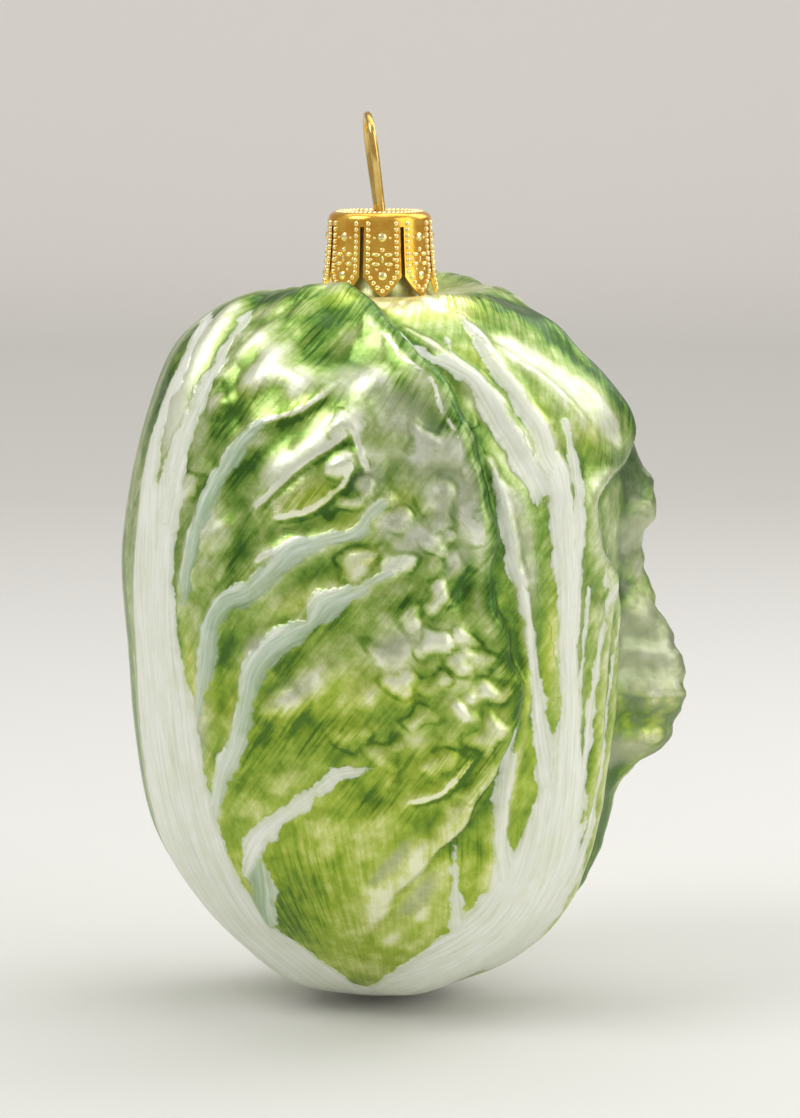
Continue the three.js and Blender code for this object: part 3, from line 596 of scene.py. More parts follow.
def soft_patch(patch, at):
    """A soft oval spot, 1 in its middle."""
    centre, up, half_length, half_width, tilt = patch[:5]
    x = turn_within(at.azimuth - centre) * at.mm
    y = at.rise - up
    turn = math.radians(tilt)
    along = (x * math.cos(turn) + y * math.sin(turn)) / half_length
    aside = (y * math.cos(turn) - x * math.sin(turn)) / half_width
    return np.exp(-np.minimum(along ** 2 + aside ** 2, 30))


def crease_lap(path, at):
    """How strongly a fold laps over the glass below it: a gentle climb to a crest, then a sharp drop."""
    lap = np.zeros(at.azimuth.shape)
    mask, distance, across, _ = along_path(path, at, 8)
    past_end = np.sqrt(np.maximum(distance ** 2 - across ** 2, 0))
    profile = smooth(-0.4, 0.3, across) * np.exp(-np.maximum(across, 0) / 2.0)
    lap[mask] = profile * (1 - smooth(0.2, 2.5, past_end))
    return lap


def nearest_crease(at):
    """How far across the nearest crease each point lies, and 1 beside a crease but 0 past its ends."""
    best = np.full(at.azimuth.shape, 9.0)
    across = np.full(at.azimuth.shape, 3.0)
    beside = np.zeros(at.azimuth.shape)
    for path in CREASES:
        for side in (at, at.turned()):
            mask, distance, off, _ = along_path(path, side, 5)
            past_end = np.sqrt(np.maximum(distance ** 2 - off ** 2, 0))
            closer = distance < best[mask]
            best[mask] = np.where(closer, distance, best[mask])
            across[mask] = np.where(closer, off, across[mask])
            here = (1 - smooth(0.1, 1.6, past_end)) * (1 - smooth(0.8, 1.5, distance))
            beside[mask] = np.where(closer, here, beside[mask])
    return np.clip(across, -3, 3), beside


def bump_share(bump, at):
    """How far out from a bump's middle each point lies, 1 on its edge."""
    return np.sqrt(-np.log(np.maximum(soft_patch(bump, at), 1e-13)))


def bump_height(bump, at):
    """A round dome with a narrow groove about it."""
    share = bump_share(bump, at)
    groove = 0.18 * np.exp(-(((share - 1.15) / 0.25) ** 2))
    return BUMP_SCALE * bump[5] * (np.clip(1 - share ** 2, 0, 1) - groove)


def wavered(at):
    """The same places pushed about a little, so that what is drawn there comes out irregular."""
    azimuth = at.azimuth + 1.3 * np.sin(1.35 * at.rise + 0.23 * at.azimuth)
    azimuth += 0.8 * np.sin(0.71 * at.azimuth + 1)
    rise = at.rise + 0.5 * np.sin(0.83 * at.azimuth + 0.6 * at.rise)
    rise += 0.3 * np.sin(2.1 * at.rise + 2)
    moved = Place(azimuth, rise)
    moved.mm = at.mm
    return moved


def frill_height(at):
    """The frill stands out as a thin wavy edge, with pleats that run outward on its two faces."""
    rows = refined(FRILL)
    pleat_rows = refined(FRILL_PLEATS)
    reach = np.interp(at.rise, rows[:, 0], rows[:, 1])
    wave = np.sin(at.rise * 1.3) + 0.5 * np.sin(at.rise * 2.5 + 1)
    reach = reach + FRILL_WAVE * smooth(1, 3, reach) * wave
    pleat = np.interp(at.rise, pleat_rows[:, 0], pleat_rows[:, 1])
    off = turn_within(at.azimuth - FRILL_AZIMUTH) * at.mm / FRILL_HALF_THICKNESS
    on_face = np.exp(-(((np.abs(off) - 0.95) / 0.55) ** 2))
    return np.maximum(0, reach) * np.exp(-np.minimum(off ** 2, 30)) + pleat * on_face


def crinkle(at, seed=5, cell=(4.9, 3.7), tilt=30):
    """Low round domes with sharp creases between them, from jittered cells, as on a crinkled leaf."""
    random = np.random.default_rng(seed)
    turn = math.radians(tilt)
    x = at.azimuth * 0.5
    u = (x * math.cos(turn) + at.rise * math.sin(turn)) / cell[0]
    v = (at.rise * math.cos(turn) - x * math.sin(turn)) / cell[1]
    nearest = np.full(u.shape, 4.0)
    dome = np.zeros(u.shape)
    for i in range(int(u.min()) - 2, int(u.max()) + 3):
        for j in range(int(v.min()) - 2, int(v.max()) + 3):
            jitter = random.uniform(-0.36, 0.36, 2)
            size = random.uniform(0.35, 1)
            distance = (u - i - jitter[0]) ** 2 + (v - j - jitter[1]) ** 2
            closer = distance < nearest
            dome = np.where(closer, size, dome)
            nearest = np.where(closer, distance, nearest)
    return dome * np.clip(1 - nearest / 0.6, 0, 1)


def rib_clearness(at):
    """1 over the crinkled blade and 0 over the smooth ribs."""
    clear = np.ones(at.azimuth.shape)
    for _, path in RIBS[:2]:
        distance, _, row = nearest_on(refined(path), at)
        clear = np.minimum(clear, smooth(0.7, 1.5, distance / row[:, 2]))
    return clear * smooth(24, 50, at.rise)


def side_bands(at):
    """Above 1 towards the left and right sides of the near half, where the leaves lie smooth."""
    return np.exp(-(((np.abs(at.azimuth) - 88) / 22) ** 2)) * 1.6


def relief(at):
    """How far the glass stands out from the plain head. The far half repeats the near half turned round,
    without the side leaf and the frill."""
    sides = [at, at.turned()]
    height = np.zeros(at.azimuth.shape)
    for leaf, side in leaves_at(at):
        height = np.maximum(height, leaf_height(leaf, side)[0])
    for side in sides:
        for crest, path in RIBS:
            height += rib_height(crest, path, side)
        for _, stroke in MINT_STROKES:
            height += rib_height(VEIN_HEIGHT, [(a, r, w + 0.8) for a, r, w in stroke], side)
        for blister in BLISTERS:
            height += blister[5] * soft_patch(blister, side)
        for bump in BUMPS:
            height += bump_height(bump, wavered(side))
        for path in CREASES:
            height += CREASE_HEIGHT * crease_lap(path, side)
    clear = np.minimum(rib_clearness(at), rib_clearness(at.turned()))
    clear = clear * (1 - 0.8 * patches([SMOOTH_SHOULDER], at))
    for side in sides:
        clear = clear * (1 - smooth(0.5, 1.5, side_bands(side)))
    bumpy = np.clip(patches(BUMPY_REGIONS, at), 0, 1)
    ripples = (1 - bumpy) * crinkle(at) + 0.6 * bumpy * crinkle(at, seed=11, cell=(3.5, 3.2), tilt=12)
    height += CRINKLE_HEIGHT * clear * ripples
    fade = smooth(*RELIEF_FADE_BOTTOM, at.rise) * (1 - smooth(*RELIEF_FADE_TOP, at.rise))
    return fade * height + frill_height(at)


def patches(rows, at):
    """The sum of some soft patches, on the near half and on the far half."""
    return np.sum([soft_patch(row, side) for row in rows for side in (at, at.turned())], axis=0)


def brushed(strokes, at):
    """Signed millimetres inside the nearest brush stroke, and how far across that stroke a point lies."""
    inside = np.full(at.azimuth.shape, -9.0)
    across = np.zeros(at.azimuth.shape)
    for stroke in strokes:
        for side in (at, at.turned()):
            mask, distance, off, row = along_path(stroke, side, 16)
            here = row[:, 2] - distance
            closer = here > inside[mask]
            inside[mask] = np.where(closer, here, inside[mask])
            across[mask] = np.where(closer, off, across[mask])
    return inside, across


def rim_band(inside):
    """1 along a leaf's edge, sharp on its outer side and soft on its inner side, partly as painted shade.
    """
    return np.exp(-(((inside - 0.5) / np.where(inside < 0.5, 0.8, 1.7)) ** 2))


def paint_fields(at):
    """Millimetres inside the opaque paint, how far across its stroke a point lies, and how green it is."""
    white, across = brushed(WHITE_STROKES, at)
    white = np.maximum(white, BASE_PAINT_RISE - at.rise)
    veins = [brushed([stroke], at) for _, stroke in MINT_STROKES]
    mint = np.max([inside for inside, _ in veins], axis=0)
    mint_tone = np.zeros(at.azimuth.shape)
    for (tone, _), (inside, off) in zip(MINT_STROKES, veins):
        share = smooth(-0.6, 0.6, inside - white)
        mint_tone = np.maximum(mint_tone, tone * share)
        across = np.where((inside >= mint) & (inside > white), off, across)
    gaps, _ = brushed(PAINT_GAPS, at)
    return np.minimum(np.maximum(white, mint), -gaps), across, mint_tone


def crest_fields(height):
    """How far each point stands above the glass round about it."""
    grid = height.reshape(-1, COLUMNS)
    blurred = grid.copy()
    for _ in range(5):
        for axis, step in ((1, 3), (1, -3), (0, 2), (0, -2)):
            blurred = 0.7 * blurred + 0.3 * np.roll(blurred, step, axis=axis)
    return (grid - blurred).ravel()


def margin_fields(at):
    """How strong the rim along a leaf's margin is, millimetres inside the nearest margin, how clearly that
    margin shows, and 1 in front of an outer leaf's margin but 0 behind it."""
    rim = np.zeros(at.azimuth.shape)
    margin = np.full(at.azimuth.shape, 6.0)
    margin_on = np.zeros(at.azimuth.shape)
    outside = np.zeros(at.azimuth.shape)
    for leaf, side in leaves_at(at):
        inside = leaf_height(leaf, side)[1]
        along = leaf["band"] * smooth(leaf["fade"][1], leaf["fade"][1] + 14, at.rise)
        rim = np.maximum(rim, rim_band(inside) * along)
        if leaf is OUTER_LEAF:
            ahead = 1 - smooth(35, 60, np.abs(side.azimuth))
            outside = np.maximum(outside, smooth(0, 2, -inside) * ahead)
        closer = np.abs(inside) < np.abs(margin)
        margin = np.where(closer, inside, margin)
        margin_on = np.where(closer, along, margin_on)
    return rim, margin, margin_on, outside


def head_fields(at, height):
    """What the head's material reads at each point."""
    paint, across, mint_tone = paint_fields(at)
    crest = crest_fields(height)
    rim, margin, margin_on, outside = margin_fields(at)
    frill_off = turn_within(at.azimuth - FRILL_AZIMUTH) * at.mm
    frill_span = smooth(*FRILL_FOOT_RISE, at.rise) * (1 - smooth(*FRILL_TOP_RISE, at.rise))
    frill = frill_span * np.exp(-((frill_off / 7) ** 2))
    # A dark line on the frill's thin edge at the outline, partly darker lacquer and partly painted shade.
    frill_edge = frill_span * np.exp(-((frill_off / 0.9) ** 2))
    tables = (DEEP_PATCHES, GRASS_PATCHES, BARE_AND_REFLECTION_PATCHES, PALE_HIGHLIGHT_PATCHES, LIME_PATCHES)
    deep, grass, bare, pale, lime = (patches(rows, at) for rows in tables)
    # The window's painted highlight, and dark outline bands: partly pooled lacquer, partly painted shade.
    window = smooth(-0.7, 0.9, brushed(WINDOWS, at)[0])
    band = smooth(-1.4, 0.6, brushed(DEEP_BANDS, at)[0])
    crease, beside_crease = nearest_crease(at)
    low = 1 - smooth(*LOW_BLADE_RISE, at.rise)
    sides = (wavered(at), wavered(at.turned()))
    ring = np.minimum.reduce([bump_share(bump, side) for bump in BUMPS for side in sides])
    # Darker on leaf margins, dark bands and the frill's edge: partly pooled lacquer, partly painted shade.
    thickness = 0.39 + 0.1 * low + 0.1 * rim + 0.36 * deep + 0.25 * grass + 0.4 * band
    thickness += 0.5 * frill_edge + 0.16 * frill
    # Paler over the bare, pale and lime patches, with painted highlights on the pale patches and bump
    # domes.
    thickness -= 0.2 * bare + 0.42 * pale + 0.1 * lime + 0.1 * (1 - smooth(0.4, 1.1, ring))
    # Painted highlight and shade by relief: paler on crests, darker in hollows, partly pooled lacquer.
    thickness -= np.clip(0.8 * crest, -0.35, 0.35) * (1 - rim)
    thickness = thickness * (1 - 0.8 * window)
    # Paler at the neck and the hollow before it: thinner lacquer and painted light against the cap's shade.
    neck = np.maximum(smooth(*NECK_PALE_AND_LIT_RISE, at.rise), outside * smooth(*HOLLOW_PALE_AND_LIT_RISE, at.rise))
    thickness = thickness * (1 - neck) + NECK_THIN_AND_LIT_DEPTH * neck
    bumpy = np.clip(patches(BUMPY_REGIONS, at), 0, 1)
    return {
        "paint": np.clip(paint, -4, 4),
        "across": across,
        "mint": mint_tone,
        "thickness": np.clip(thickness, 0, 1),
        "lime": np.clip(0.25 + 0.5 * low + 0.6 * lime + neck + 0.3 * grass - 0.3 * bare - 0.3 * rim, 0, 1),
        # Gray over the bare patches and the frill, partly bare silver and partly a painted reflection.
        "gray": np.clip(0.7 * bare + 0.45 * frill - 0.4 * rim, 0, 1),
        # Calmer under the painted highlights and the window's painted highlight, and on the bare patches.
        "calm": np.clip(pale + 0.1 * bare + 0.6 * window, 0, 1),
        "grass": np.clip(grass + deep + 0.6 * rim + 0.4 * band, 0, 1),
        "bumpy": bumpy * (1 - smooth(-1.5, 0, paint)),
        "ring": np.clip(ring, 0, 3),
        "crease": crease,
        "beside_crease": beside_crease,
        "margin": np.clip(margin, -3, 6),
        "margin_on": margin_on,
        # A pale line inside the margin near the top, partly wear and partly a painted highlight.
        "rubbed_on": margin_on * smooth(82, 94, at.rise) * (1 - 0.9 * smooth(102, 108, at.rise)),
        "frill": frill,
        "around": np.abs(turn_within(at.azimuth - SEAM_AZIMUTH)) * STREAK_MM_PER_DEGREE,
        "rise": at.rise,
    }


def column_azimuths():
    """Azimuths of the columns, closer together over the front and the frill than over the back."""
    fine = np.arange(-180, 180, 0.25)
    density = 1 + (FRONT_DENSITY - 1) * (1 - smooth(FRONT_REACH - 6, FRONT_REACH + 6, np.abs(fine)))
    share = np.concatenate([[0], np.cumsum(density)]) / density.sum()
    return np.interp(np.arange(COLUMNS) / COLUMNS, share, np.append(fine, 180))


def row_rises(body_rows, neck_rows):
    """Rises of the rows, evenly up the body and then evenly up the neck."""
    shoulder = MERIDIAN_LENGTH - NECK_LENGTH
    body = (np.arange(body_rows) + 1) * shoulder / body_rows
    neck = shoulder + (np.arange(neck_rows) + 1) * NECK_LENGTH / neck_rows
    return np.concatenate([body, neck])


def read_points(mesh):
    points = np.zeros(len(mesh.vertices) * 3)
    mesh.vertices.foreach_get("co", points)
    return points.reshape(-1, 3)


def write_places(mesh, places):
    """Moves a mesh's points to places in the part's own frame."""
    world = places * MM + np.array([AXIS_X, AXIS_Y, FOOT_Z])
    mesh.vertices.foreach_set("co", world.ravel())


def shaped_ball(name, rises, bottom, place_points):
    """A ball whose rings follow the rises, with its points placed by a function. It also gives each
    point's index on the grid of rings and columns, and the number of the point at its top."""
    bpy.ops.mesh.primitive_uv_sphere_add(segments=COLUMNS, ring_count=len(rises) + 1, radius=1)
    ball = bpy.context.object
    ball.name = name
    unit = read_points(ball.data)
    count = len(unit)
    ring = np.rint(np.arccos(np.clip(-unit[:, 2], -1, 1)) / math.pi * (len(rises) + 1)).astype(int)
    column = np.rint(np.arctan2(unit[:, 1], unit[:, 0]) / (2 * math.pi) * COLUMNS).astype(int) % COLUMNS
    on_grid = (ring > 0) & (ring <= len(rises))
    index = np.full(count, -1)
    index[on_grid] = (ring[on_grid] - 1) * COLUMNS + column[on_grid]
    places = np.tile([0.0, 0.0, bottom], (count, 1))
    places[on_grid] = place_points()[index[on_grid]]
    write_places(ball.data, places)
    top = int(np.flatnonzero(ring == len(rises) + 1)[0])
    return ball, index, top


def open_top(ball, top):
    """Takes away the point at the top and the faces about it."""
    mesh = bmesh.new()
    mesh.from_mesh(ball.data)
    mesh.verts.ensure_lookup_table()
    bmesh.ops.delete(mesh, geom=[mesh.verts[top]], context="VERTS")
    mesh.to_mesh(ball.data)
    mesh.free()


def select_only(pieces):
    bpy.ops.object.select_all(action="DESELECT")
    for piece in pieces:
        piece.select_set(True)
    bpy.context.view_layer.objects.active = pieces[0]


def join_all(pieces):
    select_only(pieces)
    bpy.ops.object.join()
    return pieces[0]


def make_glass_head():
    """The outer and the inner surface of the blown glass, bridged at the open end of the neck."""
    azimuths = column_azimuths()
    rises = row_rises(BODY_ROWS, NECK_ROWS)
    at = Place(np.tile(azimuths, len(rises)), np.repeat(rises, COLUMNS))
    height = relief(at)
    fields = head_fields(at, height)

    def outer_points():
        return plain_point(at.azimuth, at.rise) + plain_normal(at.azimuth, at.rise) * height[:, None]

    outer, index, top = shaped_ball("glass_head_painted", rises, 0, outer_points)
    for name, values in fields.items():
        attribute = outer.data.attributes.new(name, "FLOAT", "POINT")
        at_pole = values[:COLUMNS].mean()
        attribute.data.foreach_set("value", np.where(index < 0, at_pole, values[index]).astype(np.float32))
    open_top(outer, top)

    inner_rises = row_rises(INNER_BODY_ROWS, INNER_NECK_ROWS)
    lowest = height.reshape(-1, COLUMNS)
    for step in (1, -1, 2, -2, 4, -4):
        lowest = np.minimum(lowest, np.roll(lowest, step, axis=1))
    lowest = np.minimum.reduce([np.roll(lowest, step, axis=0) for step in range(-3, 4)])

    def inner_points():
        inner_at = Place(np.tile(azimuths, len(inner_rises)), np.repeat(inner_rises, COLUMNS))
        rows = np.clip(np.searchsorted(rises, inner_rises), 0, len(rises) - 1)
        inset = np.clip(lowest[rows].ravel(), -2, 3) - GLASS_WALL
        inset = np.where(inner_at.rise > MERIDIAN_LENGTH - NECK_LENGTH, -GLASS_WALL, inset)
        outward = plain_normal(inner_at.azimuth, inner_at.rise)
        return plain_point(inner_at.azimuth, inner_at.rise) + outward * inset[:, None]

    inner, _, inner_top = shaped_ball("glass_head_inside", inner_rises, GLASS_WALL, inner_points)
    open_top(inner, inner_top)
    inner.data.flip_normals()

    head = join_all([outer, inner])
    bpy.ops.object.mode_set(mode="EDIT")
    bpy.ops.mesh.select_mode(type="EDGE")
    bpy.ops.mesh.select_all(action="DESELECT")
    bpy.ops.mesh.select_non_manifold(extend=False)
    bpy.ops.mesh.bridge_edge_loops()
    bpy.ops.object.mode_set(mode="OBJECT")
    bpy.ops.object.shade_smooth()
    return head


# Materials
ADD = {"operation": "ADD"}
SUBTRACT = {"operation": "SUBTRACT"}
MULTIPLY = {"operation": "MULTIPLY"}
MULTIPLY_ADD = {"operation": "MULTIPLY_ADD"}
ABSOLUTE = {"operation": "ABSOLUTE"}
SOFT_STEP = {"interpolation_type": "SMOOTHSTEP"}
SOFT_CELLS = {"feature": "SMOOTH_F1"}
COLOURS = {"data_type": "RGBA"}
PAINTED_FIELDS = [
    "paint", "across", "mint", "thickness", "lime", "gray", "calm", "grass", "bumpy", "ring", "crease",
    "beside_crease", "margin", "margin_on", "rubbed_on", "frill", "around", "rise",
]


def linear(code):
    """An sRGB hex colour as linear red, green, blue and alpha."""
    parts = [int(code[i:i + 2], 16) / 255 for i in (1, 3, 5)]
    return tuple(c / 12.92 if c <= 0.04045 else ((c + 0.055) / 1.055) ** 2.4 for c in parts) + (1.0,)


def feed(node, inputs):
    """Sets or links a node's inputs. An input is named by its number after an underscore, or by its name
    with underscores for spaces, and takes a value, an output, or another node for its own result."""
    for key, value in inputs.items():
        socket = node.inputs[int(key[1:])] if key[0] == "_" else node.inputs[key.replace("_", " ")]
        if isinstance(value, bpy.types.Node):
            value = next(output for output in value.outputs if output.enabled)
        if isinstance(value, bpy.types.NodeSocket):
            node.id_data.links.new(value, socket)
        else:
            socket.default_value = value


def add_node(tree, kind, settings=None, **inputs):
    """Adds a node with its settings and links. The stops of a colour ramp count as a setting."""
    node = tree.nodes.new("ShaderNode" + kind)
    for key, value in (settings or {}).items():
        if key != "stops":
            setattr(node, key, value)
            continue
        elements = node.color_ramp.elements
        while len(elements) < len(value):
            elements.new(0.5)
        for element, (position, colour) in zip(elements, value):
            element.position = position
            element.color = linear(colour)
    feed(node, inputs)
    return node


def new_material(name):
    material = bpy.data.materials.new(name)
    material.use_nodes = True
    return material, material.node_tree, material.node_tree.nodes["Principled BSDF"]


def sized_texture(tree, size, kind, settings=None, **inputs):
    """A texture on object coordinates whose features are about size millimetres across."""
    coordinates = add_node(tree, "TexCoord").outputs["Object"]
    scaled = add_node(tree, "Mapping", _0=coordinates, _3=[1 / (size * MM)] * 3)
    return add_node(tree, kind, settings, _0=scaled, Scale=1.0, **inputs)


def lacquer_streaks(tree, read, tilt):
    """The lacquer's brush streaks, which lean over from upright by tilt degrees."""
    sine = math.sin(math.radians(tilt))
    cosine = math.cos(math.radians(tilt))
    ends = []
    for around, up, size in ((cosine, sine, STREAK_WIDTH), (-sine, cosine, STREAK_LENGTH)):
        end = add_node(tree, "Math", MULTIPLY, _0=read["around"], _1=around / size)
        ends.append(add_node(tree, "Math", MULTIPLY_ADD, _0=read["rise"], _1=up / size, _2=end))
    vector = add_node(tree, "CombineXYZ", _0=ends[0], _1=ends[1])
    return add_node(tree, "TexNoise", _0=vector, Scale=1.0, Detail=6, Roughness=0.6)


def paint_bristles(tree, across):
    """Fine streaks that follow a brush stroke, from how far across it a point lies."""
    coordinates = add_node(tree, "TexCoord").outputs["Object"]
    split = add_node(tree, "SeparateXYZ", _0=coordinates).outputs
    aside = add_node(tree, "Math", MULTIPLY, _0=across, _1=1 / BRISTLE_WIDTH)
    along = add_node(tree, "Math", ADD, _0=split["X"], _1=split["Z"])
    along = add_node(tree, "Math", MULTIPLY, _0=along, _1=1 / (BRISTLE_LENGTH * MM))
    vector = add_node(tree, "CombineXYZ", _0=aside, _1=along)
    return add_node(tree, "TexNoise", _0=vector, Scale=1.0, Detail=6, Roughness=0.65)


def off_line(tree, field, wobble, sway, middle):
    """How far a point lies from a wavering line, which runs where the field is at its middle value."""
    wavering = add_node(tree, "Math", MULTIPLY_ADD, _0=wobble, _1=sway, _2=field)
    offset = add_node(tree, "Math", SUBTRACT, _0=wavering, _1=middle)
    return add_node(tree, "Math", ABSOLUTE, _0=offset)


def make_painted_glass():
    """Silvered blown glass under translucent green lacquer and opaque brushed paint, with a satin coat."""
    material, tree, surface = new_material("silvered_glass_lacquer_satin")
    read = {}
    for name in PAINTED_FIELDS:
        read[name] = add_node(tree, "Attribute", {"attribute_name": name}).outputs["Fac"]
    cloud = sized_texture(tree, CLOUD_SIZE, "TexNoise", Detail=6, Roughness=0.55)
    mottle = sized_texture(tree, MOTTLE_SIZE, "TexNoise", Detail=8, Roughness=0.62)
    wobble = add_node(tree, "Math", SUBTRACT, _0=mottle, _1=0.5)
    fine = sized_texture(tree, FINE_GRAIN_SIZE, "TexNoise", Detail=3, Roughness=0.55)
    cell = sized_texture(tree, DOME_SIZE, "TexVoronoi", SOFT_CELLS, Smoothness=0.15)
    frill_cell = sized_texture(tree, FRILL_DOME_SIZE, "TexVoronoi", SOFT_CELLS, Smoothness=0.15)

    # The brush went upright low on the head and slanted higher up.
    low, high = STREAK_TURN_RISE
    lean = add_node(tree, "MapRange", SOFT_STEP, _0=read["rise"], _1=low, _2=high)
    upright = lacquer_streaks(tree, read, LOW_STREAK_TILT)
    slanted = lacquer_streaks(tree, read, HIGH_STREAK_TILT)
    streaks = add_node(tree, "Mix", {"data_type": "FLOAT"}, _0=lean, _2=upright, _3=slanted)

    # The lacquer lies unevenly, brushed on, pooled and dabbed, but calmer where it is thinnest and under
    # the painted highlights. Noise averages a half, so half of what the three add is taken off.
    uneven = -1.05
    for texture, height in ((streaks, 0.5), (cloud, 0.7), (mottle, 0.9)):
        uneven = add_node(tree, "Math", MULTIPLY_ADD, _0=texture, _1=height, _2=uneven)
    lively = add_node(tree, "Math", MULTIPLY_ADD, _0=read["calm"], _1=-0.6, _2=1.0)
    depth = add_node(tree, "Math", MULTIPLY_ADD, _0=uneven, _1=lively, _2=read["thickness"])

    # Each mark in it has the value it follows, where it starts and is full, its depth, and where it lies:
    # brush hairs; creases of the bumpy regions and the frill's folds, and a groove round each bump, all
    # darker partly as pooled lacquer and partly as painted shade; along a sharp crease a painted highlight
    # above its line and a painted shadow below it; a leaf's dark margin, partly darker lacquer and partly
    # painted shade on its step; and, near the top, a pale line inside it, partly wear and partly a painted
    # highlight.
    patchy_groove = add_node(tree, "MapRange", SOFT_STEP, _0=cloud, _1=0.42, _2=0.58, _4=0.26)
    patchy_band = add_node(tree, "MapRange", SOFT_STEP, _0=cloud, _1=0.4, _2=0.6, _3=0.42, _4=0.06)
    patchy_band = add_node(tree, "Math", MULTIPLY, _0=patchy_band, _1=read["margin_on"])
    # A pale line inside the margin, partly wear and partly a painted highlight.
    patchy_wear_and_highlight = add_node(tree, "MapRange", SOFT_STEP, _0=mottle, _1=0.46, _2=0.54, _4=-0.7)
    patchy_wear_and_highlight = add_node(tree, "Math", MULTIPLY, _0=patchy_wear_and_highlight, _1=read["rubbed_on"])
    marks = [
        (streaks, 0.48, 0.6, 0.26, read["grass"]),
        (cell, 0.38, 0.62, 0.15, read["bumpy"]),
        (frill_cell, 0.3, 0.6, 0.24, read["frill"]),
        (off_line(tree, read["ring"], wobble, 0.8, 1.2), 0.35, 0.05, 1.0, patchy_groove),
        (off_line(tree, read["crease"], wobble, 0.9, 0.35), 0.5, 0.12, -0.6, read["beside_crease"]),
        (off_line(tree, read["crease"], wobble, 0.9, -0.35), 0.6, 0.1, 0.3, read["beside_crease"]),
        (off_line(tree, read["margin"], wobble, 1.2, 0.9), 2.6, 0.3, 1.0, patchy_band),
        (off_line(tree, read["margin"], wobble, 1.2, 2.4), 0.34, 0.06, 1.0, patchy_wear_and_highlight),
    ]
    for value, start, full, amount, where in marks:
        mark = add_node(tree, "MapRange", SOFT_STEP, _0=value, _1=start, _2=full, _4=amount)
        depth = add_node(tree, "Math", MULTIPLY_ADD, _0=mark, _1=where, _2=depth)
    cool = add_node(tree, "ValToRGB", {"stops": COOL_LACQUER}, _0=depth)
    warm = add_node(tree, "ValToRGB", {"stops": WARM_LACQUER}, _0=depth)
    green = add_node(tree, "Mix", COLOURS, _0=read["lime"], _6=cool, _7=warm)
    # Grayer over the bare patches and the frill: silver rubbed bare, and a painted reflection of the room.
    worn_and_reflected = add_node(tree, "Math", ADD, _0=read["gray"], _1=wobble)
    worn_and_reflected = add_node(tree, "MapRange", SOFT_STEP, _0=worn_and_reflected, _1=0.15, _2=0.9, _4=0.75)
    lacquer = add_node(tree, "Mix", COLOURS, _0=worn_and_reflected, _6=green, _7=linear(WORN_AND_REFLECTED_GRAY))

    # Opaque paint keeps the brush's streaks along each stroke, and its edge wanders off the drawn one, by
    # as much outwards as inwards.
    inside = add_node(tree, "Math", SUBTRACT, _0=read["paint"], _1=1.35)
    for size, height in ((EDGE_WANDER_SIZE, 2.2), (EDGE_NIBBLE_SIZE, 0.5)):
        texture = sized_texture(tree, size, "TexNoise", Detail=2, Roughness=0.55)
        inside = add_node(tree, "Math", MULTIPLY_ADD, _0=texture, _1=height, _2=inside)
    bristles = paint_bristles(tree, read["across"])
    white = add_node(tree, "ValToRGB", {"stops": WHITE_PAINT}, _0=bristles)
    lit_edge = add_node(tree, "Math", MULTIPLY_ADD, _0=read["across"], _1=0.16, _2=bristles)
    mint = add_node(tree, "ValToRGB", {"stops": MINT_PAINT}, _0=lit_edge)
    paint = add_node(tree, "Mix", COLOURS, _0=read["mint"], _6=white, _7=mint)
    body = add_node(tree, "Math", MULTIPLY_ADD, _0=bristles, _1=1.6, _2=inside)
    opacity = add_node(tree, "MapRange", SOFT_STEP, _0=inside, _1=-0.1, _2=0.2)
    for value, low, high, least in ((body, 0.4, 2.2, 0.66), (cloud, 0.3, 0.6, 0.84)):
        share = add_node(tree, "MapRange", SOFT_STEP, _0=value, _1=low, _2=high, _3=least)
        opacity = add_node(tree, "Math", MULTIPLY, _0=opacity, _1=share)

    # The surface: silver shows where no paint lies, and the paint stands up from the lacquer.
    colour = add_node(tree, "Mix", COLOURS, _0=opacity, _6=lacquer, _7=paint)
    metallic = add_node(tree, "Math", MULTIPLY_ADD, _0=opacity, _1=-0.78, _2=0.78)
    rough = add_node(tree, "Math", MULTIPLY_ADD, _0=opacity, _1=0.12, _2=0.305)
    rough = add_node(tree, "Math", MULTIPLY_ADD, _0=fine, _1=0.15, _2=rough)
    bristled = add_node(tree, "Math", MULTIPLY, _0=bristles, _1=opacity)
    domes = add_node(tree, "Math", MULTIPLY, _0=cell, _1=cell)
    domes = add_node(tree, "Math", MULTIPLY, _0=domes, _1=read["bumpy"])
    folds = add_node(tree, "Math", MULTIPLY, _0=frill_cell, _1=read["frill"])
    film = add_node(tree, "MapRange", SOFT_STEP, _0=inside, _1=-0.2, _2=0.45, _4=0.16)
    for value, height in ((mottle, 0.12), (streaks, 0.04), (bristled, 0.035), (domes, -0.5), (folds, -0.2)):
        film = add_node(tree, "Math", MULTIPLY_ADD, _0=value, _1=height, _2=film)
    bump = add_node(tree, "Bump", Strength=0.7, Distance=MM, Height=film)
    feed(surface, {
        "Base_Color": colour, "Metallic": metallic, "Roughness": rough, "Normal": bump,
        "Coat_Weight": 0.4, "Coat_Roughness": 0.18, "Coat_Normal": bump,
    })
    return material


